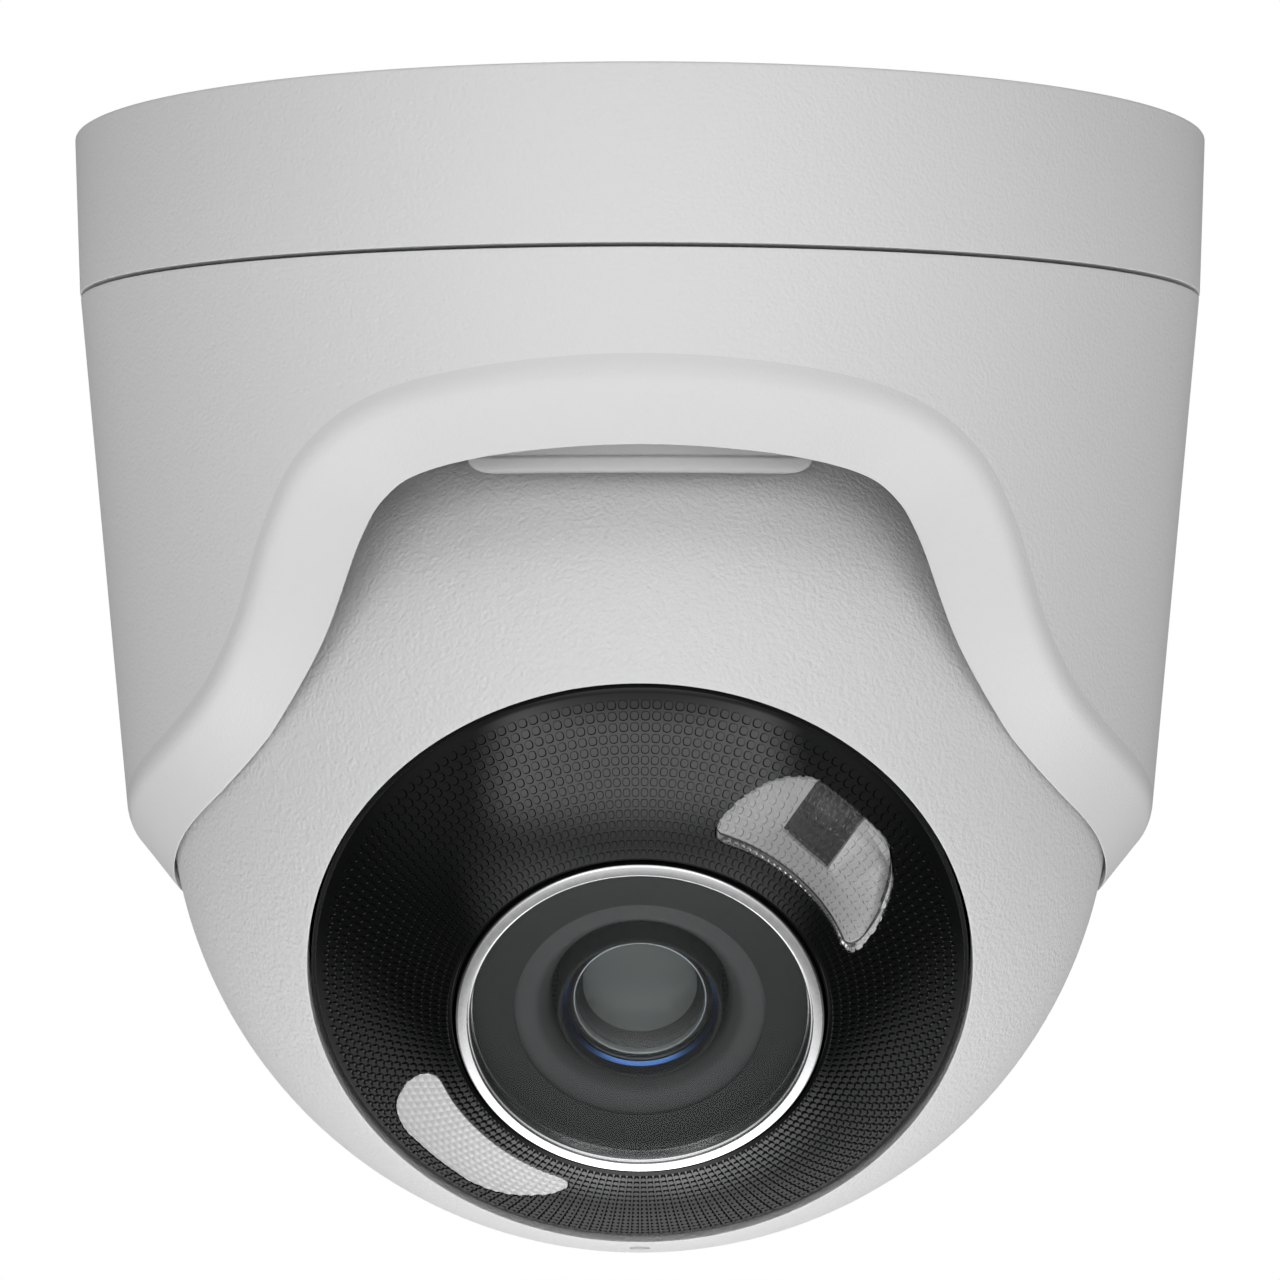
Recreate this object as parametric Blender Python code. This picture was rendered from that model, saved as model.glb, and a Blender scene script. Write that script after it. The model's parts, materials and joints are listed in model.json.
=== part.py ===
"""Ceiling turret camera: a drum-shaped housing with an arched opening, and a ball that carries the lens.

The origin is the centre of the face that meets the ceiling, +Z is up and the opening faces -Y, so the
camera hangs below z = 0. The lens ball is modelled along its own axis: in its frame +Z is the way the
lens looks, +X is the camera's right as seen from the front, and the ball's centre is the origin.
Numbers are millimetres, and the functions that make meshes turn them into metres.
"""

import math

import bmesh
import bpy
from mathutils import Matrix, Vector

MM = 0.001
GAP = 0.3  # clearance between neighbouring pieces

# Facets of a full turn on large, medium and small round pieces
ROUND_LARGE = 48
ROUND_MEDIUM = 32
ROUND_SMALL = 12

# Drum: the mounting base above the seam and the skirt below it
BASE_TOP_RADIUS = 55.07
BASE_FOOT_RADIUS = 54.6
BASE_HEIGHT = 15.1
SEAM = 0.35
SKIRT_TOP = -(BASE_HEIGHT + SEAM)
SKIRT_TOP_RADIUS = 54.53
SKIRT_TAPER = 0.0911  # loss of radius for each millimetre down
SKIRT_WALL = 2.4
RIM_WIDTH = 4.9  # how far the sloped rim runs inward
RIM_ROUNDING = 1.6  # where the rounding between wall and rim starts
LIP_DEPTH = 3.0  # how far the inner lip runs back behind the rim

# Cable entry, in front of the middle of the ceiling face
ENTRY_Y = -22.0
BRACKET_ENTRY = 8.8  # radius of the hole in the bracket
WEB_ENTRY = 6.9  # radius of the hole in the base's web
LEAD_BORE = 3.4  # radius of the hole through the grommet

# Ball
BALL_CENTRE = -62.2
BALL_RADIUS = 46.0
BALL_WALL = 2.2
SOCKET_RADIUS = BALL_RADIUS + 0.42
LENS_BELOW_LEVEL = 28.2  # degrees the lens looks below the horizon at rest
BALL_SPLIT = -6.0  # height of the joint between front and rear shell
REAR_FLAT = -42.5
REAR_FLAT_WALL = 3.0

# Face
FACE_OPENING = 30.0
BEZEL_RADIUS = 29.7
BEZEL_SPHERE = BALL_RADIUS - 0.6
BEZEL_THICK = 2.0
TRIM_RADIUS = 16.31
TRIM_TOP = 42.5
WINDOW_GLASS_TOP = 41.7

# Heights of the boards along the lens axis
SENSOR_BOARD_TOP = 9.7
MAIN_BOARD_TOP = -2.4

# Day/night filter
FILTER_TRAVEL = 7.5
FILTER_LEVEL = 14.0
ARM_PIVOT_Y = 13.0
ARM_PIN_Y = 6.0

# The arch, front to side, as pairs of points on its outer and inner edge. Each point is the angle
# from the front about the vertical axis, in degrees, and the height.
ARCH = [
    (0.0, -25.7, 0.0, -31.85),
    (14.0, -26.6, 13.0, -32.5),
    (25.0, -28.8, 22.5, -34.0),
    (32.5, -32.8, 27.3, -36.1),
    (37.4, -38.4, 30.9, -39.8),
    (42.5, -47.0, 36.9, -48.9),
    (48.7, -53.3, 45.5, -56.8),
    (57.2, -57.75, 54.5, -62.0),
    (68.0, -61.4, 66.5, -66.4),
    (82.0, -65.3, 81.5, -71.4),
    (95.0, -68.4, 95.0, -74.0),
]
ARCH_STEPS = 2
REAR_STEPS = 9

COLOURS = {
    "white_plastic": ((0.72, 0.72, 0.73), 0.55, 0.0),
    "dark_plastic": ((0.03, 0.03, 0.032), 0.45, 0.0),
    "bezel_plastic": ((0.006, 0.006, 0.006), 0.18, 0.0),
    "clear_plastic": ((0.8, 0.8, 0.8), 0.1, 0.0),
    "glass": ((0.05, 0.05, 0.05), 0.02, 0.0),
    "chrome": ((0.75, 0.75, 0.76), 0.12, 1.0),
    "mirror": ((0.85, 0.85, 0.85), 0.15, 1.0),
    "steel": ((0.55, 0.55, 0.56), 0.3, 1.0),
    "aluminium": ((0.6, 0.6, 0.62), 0.35, 1.0),
    "rubber": ((0.02, 0.02, 0.02), 0.8, 0.0),
    "foam": ((0.05, 0.05, 0.05), 0.9, 0.0),
    "circuit_board": ((0.02, 0.12, 0.05), 0.4, 0.0),
    "chip": ((0.02, 0.02, 0.02), 0.5, 0.0),
    "gold_film": ((0.55, 0.3, 0.08), 0.5, 0.0),
    "phosphor": ((0.85, 0.7, 0.1), 0.4, 0.0),
    "cable": ((0.7, 0.7, 0.7), 0.6, 0.0),
    "pad": ((0.25, 0.3, 0.4), 0.9, 0.0),
}


# ---------------------------------------------------------------- helpers


def clear_scene():
    for obj in list(bpy.data.objects):
        bpy.data.objects.remove(obj, do_unlink=True)


def material(slot):
    found = bpy.data.materials.get(slot)
    if found:
        return found
    colour, roughness, metallic = COLOURS[slot]
    made = bpy.data.materials.new(slot)
    made.use_nodes = True
    shader = made.node_tree.nodes["Principled BSDF"]
    shader.inputs["Base Color"].default_value = (*colour, 1.0)
    shader.inputs["Roughness"].default_value = roughness
    shader.inputs["Metallic"].default_value = metallic
    return made


def empty(name, location=(0, 0, 0), turned=(0, 0, 0), parent=None):
    obj = bpy.data.objects.new(name, None)
    obj.location = Vector(location) * MM
    obj.rotation_euler = turned
    obj.parent = parent
    bpy.context.scene.collection.objects.link(obj)
    return obj


def finish(bm, name, slot, frame):
    """Makes one object from a mesh in millimetres, with its faces pointing out."""
    bmesh.ops.remove_doubles(bm, verts=bm.verts, dist=0.0005)
    bmesh.ops.recalc_face_normals(bm, faces=bm.faces)
    bmesh.ops.scale(bm, vec=(MM, MM, MM), verts=bm.verts)
    mesh = bpy.data.meshes.new(name)
    bm.to_mesh(mesh)
    bm.free()
    mesh.shade_smooth()
    mesh.set_sharp_from_angle(angle=math.radians(35))
    mesh.materials.append(material(slot))
    obj = bpy.data.objects.new(name, mesh)
    obj.parent = frame
    bpy.context.scene.collection.objects.link(obj)
    return obj


def lathe(name, outline, slot, frame, segments=ROUND_MEDIUM, start=0.0, sweep=360.0):
    """Turns a closed outline of (radius, height) points about the frame's Z axis."""
    bm = bmesh.new()
    place = Matrix.Rotation(math.radians(start), 3, "Z")
    verts = [bm.verts.new(place @ Vector((r, 0.0, z))) for r, z in outline]
    for a, b in zip(verts, verts[1:] + verts[:1]):
        if a.co.xy.length > 0 or b.co.xy.length > 0:
            bm.edges.new((a, b))
    whole = sweep >= 360.0
    bmesh.ops.spin(
        bm,
        geom=bm.verts[:] + bm.edges[:],
        axis=(0, 0, 1),
        angle=math.radians(sweep),
        steps=segments,
        use_merge=whole,
    )
    if not whole:
        ends = [edge for edge in bm.edges if edge.is_boundary]
        bmesh.ops.holes_fill(bm, edges=ends, sides=0)
    return finish(bm, name, slot, frame)


def prism(name, outline, bottom, top, slot, frame):
    """Stands a closed outline of (x, y) points up from bottom to top."""
    bm = bmesh.new()
    face = bm.faces.new([bm.verts.new((x, y, bottom)) for x, y in outline])
    grown = bmesh.ops.extrude_face_region(bm, geom=[face])["geom"]
    rise = [item for item in grown if isinstance(item, bmesh.types.BMVert)]
    bmesh.ops.translate(bm, vec=(0, 0, top - bottom), verts=rise)
    return finish(bm, name, slot, frame)


def box(name, low, high, slot, frame, bevel=0.0):
    bm = bmesh.new()
    add_box(bm, low, high)
    if bevel:
        bmesh.ops.bevel(
            bm, geom=bm.edges[:], offset=bevel, segments=1, affect="EDGES"
        )
    return finish(bm, name, slot, frame)


def add_box(bm, low, high):
    size = Vector(high) - Vector(low)
    middle = (Vector(high) + Vector(low)) / 2
    place = Matrix.Translation(middle) @ Matrix.Diagonal((*size, 1))
    bmesh.ops.create_cube(bm, size=1.0, matrix=place)


def add_cylinder(bm, x, y, radius, low, high, segments=ROUND_SMALL):
    bmesh.ops.create_cone(
        bm,
        cap_ends=True,
        segments=segments,
        radius1=radius,
        radius2=radius,
        depth=high - low,
        matrix=Matrix.Translation((x, y, (low + high) / 2)),
    )


def cylinders(name, spots, radius, low, high, frame, slot="dark_plastic"):
    """Equal upright cylinders at a list of (x, y) spots, for holes and posts."""
    bm = bmesh.new()
    for x, y in spots:
        add_cylinder(bm, x, y, radius, low, high)
    return finish(bm, name, slot, frame)


def change(target, operation, *tools):
    for tool in tools:
        modifier = target.modifiers.new(f"{operation} {tool.name}", "BOOLEAN")
        modifier.operation = operation
        modifier.solver = "EXACT"
        modifier.object = tool
        tool.hide_render = True
        tool.display_type = "WIRE"
    return target


def cut(target, *tools):
    return change(target, "DIFFERENCE", *tools)


def join(target, *tools):
    return change(target, "UNION", *tools)


def ring_spots(radius, count, first_degrees):
    """Points spaced evenly on a circle about the Z axis."""
    turns = [math.radians(first_degrees + 360 * i / count) for i in range(count)]
    return [(radius * math.cos(turn), radius * math.sin(turn)) for turn in turns]


def sphere_arc(radius, first_radial, last_radial, steps, side=1):
    """Outline points on a sphere about the origin, by distance from the axis, evenly in angle."""
    first = math.asin(first_radial / radius)
    last = math.asin(last_radial / radius)
    turns = [first + (last - first) * i / steps for i in range(steps + 1)]
    return [(radius * math.sin(t), side * radius * math.cos(t)) for t in turns]


def sphere_at(radius, height):
    """The distance from the axis at which a sphere about the origin has this height."""
    return math.sqrt(radius**2 - height**2)


def curve_through(points, steps):
    """A Catmull-Rom curve through points of any dimension, level at its first point."""
    mirrored = (-points[1][0], points[1][1], -points[1][2], points[1][3])
    last = points[-1]
    before = points[-2]
    beyond = (2 * last[0] - before[0], last[1], 2 * last[2] - before[2], last[3])
    track = [mirrored] + points + [beyond]
    found = []
    for p0, p1, p2, p3 in zip(track, track[1:], track[2:], track[3:]):
        for i in range(steps):
            t = i / steps
            weights = (
                -0.5 * t + t**2 - 0.5 * t**3,
                1 - 2.5 * t**2 + 1.5 * t**3,
                0.5 * t + 2 * t**2 - 1.5 * t**3,
                -0.5 * t**2 + 0.5 * t**3,
            )
            ends = zip(p0, p1, p2, p3)
            found.append(tuple(sum(w * p for w, p in zip(weights, four)) for four in ends))
    return found + [last]


# ---------------------------------------------------------------- mounting base


def ceiling_bracket(frame):
    """Flat plate that is screwed to the ceiling, with a lug that takes the locking screw."""
    plate = [(0, 0.0), (50.6, 0.0), (50.6, -2.4), (0, -2.4)]
    bracket = lathe("ceiling_bracket", plate, "steel", frame)
    holes = cylinders("bracket_screw_holes", ring_spots(36.0, 3, 90), 2.4, -5, 5, frame)
    entry = cylinders("bracket_entry", [(0, ENTRY_Y)], BRACKET_ENTRY, -5, 5, frame)
    lug = box("bracket_lug", (-5, 44.5, -9.6), (5, 49.5, -1.2), "steel", frame)
    thread = side_cylinder("bracket_thread", 1.75, 45.5, 52, frame)
    join(bracket, lug)
    return cut(bracket, holes, entry, thread)


def side_cylinder(name, radius, near, far, frame):
    """A cylinder along +Y at the height of the locking screw."""
    bm = bmesh.new()
    add_cylinder(bm, 0, 0, radius, near, far)
    turn = Matrix.Translation((0, 0, -6.9)) @ Matrix.Rotation(math.radians(-90), 4, "X")
    bmesh.ops.transform(bm, matrix=turn, verts=bm.verts)
    return finish(bm, name, "steel", frame)


def locking_screw(frame):
    shank = side_cylinder("locking_screw_shank", 1.4, 46.0, 53.0, frame)
    head = side_cylinder("locking_screw", 2.4, 52.8, 54.3, frame)
    return join(head, shank)


def base_shell(frame):
    """Cup with an inward foot that the skirt hangs on, and a web across its middle."""
    outline = [
        (51.0, 0.0),
        (51.9, 0.0),
        (51.9, -1.2),
        (54.1, -1.2),
        (54.1, 0.0),
        (BASE_TOP_RADIUS - 0.3, 0.0),
        (BASE_TOP_RADIUS, -0.3),
        (BASE_FOOT_RADIUS, -BASE_HEIGHT + 0.3),
        (BASE_FOOT_RADIUS - 0.3, -BASE_HEIGHT),
        (49.6, -BASE_HEIGHT),
        (49.6, -13.5),
        (52.3, -13.5),
        (52.3, -5.0),
        (0, -5.0),
        (0, -3.0),
        (51.0, -3.0),
    ]
    shell = lathe("base_shell", outline, "white_plastic", frame, ROUND_LARGE)
    entry = cylinders("base_entry", [(0, ENTRY_Y)], WEB_ENTRY, -8, -2, frame)
    access = cylinders("base_access_holes", ring_spots(36.0, 3, 90), 5.6, -8, -2, frame)
    notch = box("base_lug_notch", (-5.6, 43.9, -8), (5.6, 50.1, -2.6), "steel", frame)
    screw_hole = side_cylinder("base_screw_hole", 2.75, 50.5, 58, frame)
    return cut(shell, entry, access, notch, screw_hole)


def ceiling_seal(frame):
    outline = [(52.2, 0.0), (53.8, 0.0), (53.8, -0.9), (52.2, -0.9)]
    return lathe("ceiling_seal", outline, "foam", frame)


def cable_grommet(frame):
    """Rubber ring that grips the edge of the web's hole and passes the network lead."""
    lip = WEB_ENTRY + 1.4
    groove = WEB_ENTRY - GAP
    outline = [
        (LEAD_BORE, -1.6),
        (lip, -1.6),
        (lip, -2.7),
        (groove, -2.7),
        (groove, -5.3),
        (lip, -5.3),
        (lip, -6.4),
        (LEAD_BORE, -6.4),
    ]
    grommet = lathe("cable_grommet", outline, "rubber", frame, 24)
    grommet.location.y = ENTRY_Y * MM
    return grommet


def network_board(frame):
    return box("network_board", (-15, 21.5, -6.5), (15, 43, -5.3), "circuit_board", frame)


def network_jack(frame):
    jack = box("network_jack", (-8, 24, -17.4), (8, 42, -6.8), "aluminium", frame, 0.3)
    mouth = box("network_jack_mouth", (-6, 20, -15.4), (6, 36, -8.2), "chip", frame)
    return cut(jack, mouth)


def service_loop(frame):
    """Spare lead that lets the skirt turn, lying in a loose turn under the web."""
    bm = bmesh.new()
    radius = 1.5
    ring = ring_spots(radius, 8, 0)
    steps = 24
    rows = []
    for i in range(steps + 1):
        turn = math.radians(120 + 300 * i / steps)
        out = Vector((math.cos(turn), math.sin(turn), 0))
        centre = out * 19.0 + Vector((0, 0, -9.0 - 2.0 * i / steps))
        rows.append([bm.verts.new(centre + out * u + Vector((0, 0, v))) for u, v in ring])
    for row, after in zip(rows, rows[1:]):
        for j in range(len(ring)):
            k = (j + 1) % len(ring)
            bm.faces.new((row[j], row[k], after[k], after[j]))
    bm.faces.new(rows[0])
    bm.faces.new(rows[-1])
    return finish(bm, "service_loop", "cable", frame)


# ---------------------------------------------------------------- skirt and socket


def skirt_radius(height):
    return SKIRT_TOP_RADIUS - SKIRT_TAPER * (SKIRT_TOP - height)


def socket_at(height):
    return math.sqrt(SOCKET_RADIUS**2 - (height - BALL_CENTRE) ** 2)


def skirt_column(edges):
    """One upright slice of the skirt, as (angle, radius, height) points round the slice."""
    outer_turn, outer_height, inner_turn, inner_height = edges
    rim_radius = skirt_radius(outer_height)
    inner_radius = rim_radius - RIM_WIDTH
    if abs(inner_height - BALL_CENTRE) < SOCKET_RADIUS:
        inner_radius = max(inner_radius, socket_at(inner_height))
    # Away from the opening, along the wall, square to the arch
    along = math.radians(outer_turn - inner_turn) * rim_radius
    away = Vector((along, outer_height - inner_height)).normalized()
    wall_turn = outer_turn + math.degrees(RIM_ROUNDING * away.x / rim_radius)
    wall_height = outer_height + RIM_ROUNDING * away.y
    wall = Vector((wall_turn, skirt_radius(wall_height), wall_height))
    corner = Vector((outer_turn, rim_radius, outer_height))
    lip = Vector((inner_turn, inner_radius, inner_height))
    slope = corner.lerp(lip, 0.22)
    rounding = [
        (1 - t) ** 2 * wall + 2 * t * (1 - t) * corner + t**2 * slope
        for t in (0.0, 0.33, 0.67, 1.0)
    ]
    points = [(wall_turn, SKIRT_TOP_RADIUS, SKIRT_TOP)]
    points += [tuple(point) for point in rounding]
    points.append(tuple(lip))
    if inner_height < BALL_CENTRE:
        middle = (inner_height + BALL_CENTRE) / 2
        lip_radius = SOCKET_RADIUS + 0.1
        points.append((inner_turn, socket_at(middle), middle))
    else:
        middle = inner_height + 1.0
        lip_radius = inner_radius + 0.2
        points.append((inner_turn, inner_radius + 0.1, middle))
    # The inside runs back behind the rim, as far from the opening as its outside does
    lip_turn = inner_turn + math.degrees(LIP_DEPTH * away.x / rim_radius)
    lip_top = max(inner_height + LIP_DEPTH * away.y, middle + 0.5)
    if inner_height < BALL_CENTRE + LIP_DEPTH:
        lip_top = max(lip_top, BALL_CENTRE + LIP_DEPTH, middle + 1.5)
    points.append((lip_turn, lip_radius, lip_top))
    wall_start = lip_top + 1.4
    points.append((wall_turn, skirt_radius(wall_start) - SKIRT_WALL, wall_start))
    flange = SKIRT_TOP - SKIRT_WALL
    points.append((wall_turn, skirt_radius(flange) - SKIRT_WALL, flange))
    points.append((wall_turn, 45.0, flange))
    points.append((wall_turn, 45.0, -13.4))
    points.append((wall_turn, 49.2, -13.4))
    points.append((wall_turn, 49.2, SKIRT_TOP))
    return points


def skirt(frame):
    """Tapered shell with an arched opening at the front and a sloped rim round its whole edge."""
    half = curve_through(ARCH, ARCH_STEPS)
    last = half[-1][0]
    for i in range(1, REAR_STEPS + 1):
        turn = last + (180 - last) * i / REAR_STEPS
        half.append((turn, ARCH[-1][1], turn, ARCH[-1][3]))
    mirrored = [(-a, b, -c, d) for a, b, c, d in reversed(half[1:-1])]
    bm = bmesh.new()
    columns = []
    for edges in half + mirrored:
        column = []
        for turn, radius, height in skirt_column(edges):
            angle = math.radians(turn - 90)
            place = (radius * math.cos(angle), radius * math.sin(angle), height)
            column.append(bm.verts.new(place))
        columns.append(column)
    for column, after in zip(columns, columns[1:] + columns[:1]):
        for j in range(len(column)):
            k = (j + 1) % len(column)
            bm.faces.new((column[j], column[k], after[k], after[j]))
    shell = finish(bm, "skirt", "white_plastic", frame)
    holes = cylinders("skirt_screw_holes", SOCKET_SCREWS, 1.3, -25, -8, frame)
    return cut(shell, holes)


SOCKET_SCREWS = ring_spots(47.1, 3, 30)


def retaining_ring(frame):
    """Rides on the base's foot and is screwed to the skirt below it."""
    outline = [(43.9, -10.3), (51.8, -10.3), (51.8, -13.1), (43.9, -13.1)]
    ring = lathe("retaining_ring", outline, "dark_plastic", frame, ROUND_LARGE)
    holes = cylinders("retaining_ring_holes", SOCKET_SCREWS, 1.3, -20, -8, frame)
    pockets = cylinders("retaining_ring_pockets", SOCKET_SCREWS, 2.5, -11.8, -8, frame)
    return cut(ring, holes, pockets)


def upper_socket(frame):
    """Ring above the ball that presses on it, with a tab that closes the top of the arch."""
    seat_radius = SOCKET_RADIUS + 1.2
    seat = [
        (radius, BALL_CENTRE + height)
        for radius, height in sphere_arc(seat_radius, 35.6, 31.2, 3)
    ]
    outline = [
        (31.2, -18.1),
        (50.9, -18.1),
        (50.9, -20.5),
        (49.6, -22.8),
        (44.6, -22.8),
        (42.5, -20.6),
        (34.8, -20.6),
        (36.8, seat[0][1] + 1.0),
    ] + seat
    socket = lathe("upper_socket", outline, "white_plastic", frame, 48)
    tab_outline = [(39.0, -19.4), (41.2, -19.4), (41.2, -33.2), (40.7, -33.7), (39.0, -33.7)]
    tab = lathe("socket_tab", tab_outline, "white_plastic", frame, 8, -112.0, 44.0)
    slot = box("socket_rear_slot", (-7, 8, -40), (7, 44, -10), "chip", frame)
    holes = cylinders("socket_screw_holes", SOCKET_SCREWS, 1.3, -21.6, -10, frame)
    join(socket, tab)
    return cut(socket, slot, holes)


def friction_liner(frame):
    """Thin ring between the upper socket and the ball, open at the back for the cable boot."""
    inner = sphere_arc(SOCKET_RADIUS, 31.8, 35.0, 2)
    outer = sphere_arc(SOCKET_RADIUS + 0.9, 35.0, 31.8, 2)
    outline = [(radius, BALL_CENTRE + height) for radius, height in inner + outer]
    return lathe("friction_liner", outline, "dark_plastic", frame, 36, 104.0, 332.0)


def skirt_screw(number, spot, frame):
    """Holds retaining ring, skirt and upper socket together."""
    outline = [
        (0, -10.5),
        (2.1, -10.5),
        (2.1, -11.5),
        (0.95, -11.5),
        (0.95, -21.1),
        (0, -21.1),
    ]
    screw = lathe(f"skirt_screw_{number}", outline, "steel", frame, ROUND_SMALL)
    screw.location = (spot[0] * MM, spot[1] * MM, 0)
    return screw


# ---------------------------------------------------------------- tilt carrier


def cable_boot(frame):
    """Strain relief where the lead leaves the ball on the roll axis. It tilts and doesn't roll."""
    outline = [
        (2.0, -36.5),
        (3.2, -36.5),
        (3.2, -42.8),
        (5.2, -42.8),
        (5.2, -43.9),
        (3.6, -46.3),
        (2.0, -46.3),
    ]
    return lathe("cable_boot", outline, "rubber", frame, 20)


def ball_lead(frame):
    outline = [(0, -34.5), (1.6, -34.5), (1.6, -46.8), (0, -46.8)]
    return lathe("ball_lead", outline, "cable", frame, 12)


# ---------------------------------------------------------------- ball shells


def ball_front_shell(frame):
    """Front part of the ball, with the round opening for the face."""
    inner_sphere = BALL_RADIUS - BALL_WALL
    outside = sphere_arc(BALL_RADIUS, FACE_OPENING + 0.2, BALL_RADIUS, 7)
    behind = (sphere_at(BALL_RADIUS, BALL_SPLIT), BALL_SPLIT)
    inside = sphere_arc(inner_sphere, 43.6, FACE_OPENING, 3)
    outline = outside + [
        behind,
        (41.4, BALL_SPLIT),
        (41.4, -9.5),
        (40.0, -9.5),
        (40.0, -3.2),
        (43.6, -0.6),
    ]
    outline += inside
    outline.append((FACE_OPENING, outside[0][1] - 0.2))
    shell = lathe("ball_front_shell", outline, "white_plastic", frame, ROUND_LARGE)
    bm = bmesh.new()
    add_cylinder(bm, 0, 0, 1.0, 40, 50)
    turn = Matrix.Rotation(math.radians(MICROPHONE_ANGLE), 4, "X")
    bmesh.ops.transform(bm, matrix=turn, verts=bm.verts)
    hole = finish(bm, "microphone_hole", "chip", frame)
    return cut(shell, hole)


MICROPHONE_ANGLE = 44.6  # degrees from the lens axis to the microphone, towards the bottom


def ball_rear_shell(frame):
    """Rear part of the ball, flat at the back where the lead leaves."""
    split = BALL_SPLIT - 0.35
    inner_sphere = BALL_RADIUS - BALL_WALL
    floor = REAR_FLAT + REAR_FLAT_WALL
    outer_edge = sphere_at(BALL_RADIUS, split)
    inner_edge = sphere_at(inner_sphere, split)
    flat_edge = sphere_at(BALL_RADIUS, REAR_FLAT)
    floor_edge = sphere_at(inner_sphere, floor)
    outer = sphere_arc(BALL_RADIUS, outer_edge, flat_edge, 6, -1)
    inner = sphere_arc(inner_sphere, floor_edge, inner_edge, 4, -1)
    outline = outer + [(3.8, REAR_FLAT), (3.8, floor)] + inner
    shell = lathe("ball_rear_shell", outline, "white_plastic", frame, ROUND_LARGE)
    pockets = cylinders("ball_screw_pockets", BALL_SCREWS, 2.7, -45, -40.9, frame)
    holes = cylinders("ball_screw_holes", BALL_SCREWS, 1.5, -45, -35, frame)
    return cut(shell, pockets, holes)


BALL_SCREWS = ring_spots(13.0, 3, 90)


def ball_seal(frame):
    section = [(42.2 + x, -8.0 + y) for x, y in ring_spots(0.45, 5, 0)]
    return lathe("ball_seal", section, "rubber", frame)


def ball_screw(number, spot, frame):
    outline = [
        (0, -42.4),
        (2.3, -42.4),
        (2.3, -41.2),
        (1.2, -41.2),
        (1.2, -30.0),
        (0, -30.0),
    ]
    screw = lathe(f"ball_screw_{number}", outline, "steel", frame, ROUND_SMALL)
    screw.location = (spot[0] * MM, spot[1] * MM, 0)
    return screw


# ---------------------------------------------------------------- face


def light_window_outline(shrink, turn):
    """Outline of a light window: an inner arc, an outer arc and rounded shoulders."""
    side = [(24.2, 19.2), (26.2, 20.2), (24.6, 21.7), (21.6, 23.4), (16.5, 25.4), (10.0, 26.6)]
    inner = [(-16.0 + 8.0 * i, 19.2) for i in range(5)]
    outer = [(5.0 - 5.0 * i, 26.6) for i in range(3)]
    path = [(-a, r) for a, r in reversed(side)] + inner + side + outer
    middle = 23.0
    found = []
    for angle, radius in path:
        nearer = radius + math.copysign(shrink, middle - radius)
        slimmer = angle - math.copysign(math.degrees(shrink / radius), angle) * abs(angle) / 26
        bearing = math.radians(slimmer + turn)
        found.append((nearer * math.sin(bearing), nearer * math.cos(bearing)))
    return found


def bezel_skin(inner_radial, outer_radial):
    """Section of the domed face between two distances from the axis."""
    steps = 3
    front = sphere_arc(BEZEL_SPHERE, inner_radial, outer_radial, steps)
    back = sphere_arc(BEZEL_SPHERE - BEZEL_THICK, outer_radial, inner_radial, steps)
    return front, back


def face_bezel(frame):
    """Domed black face with a tunnel for the lens and an opening for each light window."""
    front, back = bezel_skin(TRIM_RADIUS + GAP, BEZEL_RADIUS)
    outline = (
        front
        + [(BEZEL_RADIUS, 32.2), (28.1, 32.2), (28.0, 33.1)]
        + back[1:-1]
        + [(TRIM_RADIUS + 1.7, 38.0), (TRIM_RADIUS + GAP, 38.0)]
    )
    bezel = lathe("face_bezel", outline, "bezel_plastic", frame, ROUND_LARGE)
    upper = prism("upper_window_opening", light_window_outline(0, 45), 30, 50, "chip", frame)
    lower = prism("lower_window_opening", light_window_outline(0, 225), 30, 50, "chip", frame)
    return cut(bezel, upper, lower)


def light_window(name, turn, frame):
    """Clear insert that fills one opening of the bezel, level with its face."""
    front, back = bezel_skin(18.0, 28.0)
    cap = lathe(name + "_skin", front + back, "clear_plastic", frame, ROUND_LARGE)
    window = prism(name, light_window_outline(GAP, turn), 30, 50, "clear_plastic", frame)
    return change(window, "INTERSECT", cap)


def lens_trim_ring(frame):
    outline = [
        (TRIM_RADIUS, 38.5),
        (TRIM_RADIUS, TRIM_TOP - 0.5),
        (TRIM_RADIUS - 0.3, TRIM_TOP - 0.1),
        (15.6, TRIM_TOP),
        (15.3, TRIM_TOP - 0.3),
        (15.3, 40.4),
        (13.8, 40.4),
        (13.8, 38.5),
    ]
    return lathe("lens_trim_ring", outline, "chrome", frame)


def lens_window(frame):
    top = WINDOW_GLASS_TOP
    outline = [(0, top), (14.8, top), (15.0, top - 0.2), (15.0, top - 1.0), (0, top - 1.0)]
    return lathe("lens_window", outline, "glass", frame)


def light_shield(frame):
    """Soft dark cone that stops light from the face reaching the lens inside the glass."""
    outline = [(13.4, 40.3), (11.2, 40.1), (8.3, 38.9), (7.9, 37.4), (13.4, 37.4)]
    return lathe("light_shield", outline, "rubber", frame, 28)


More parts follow.
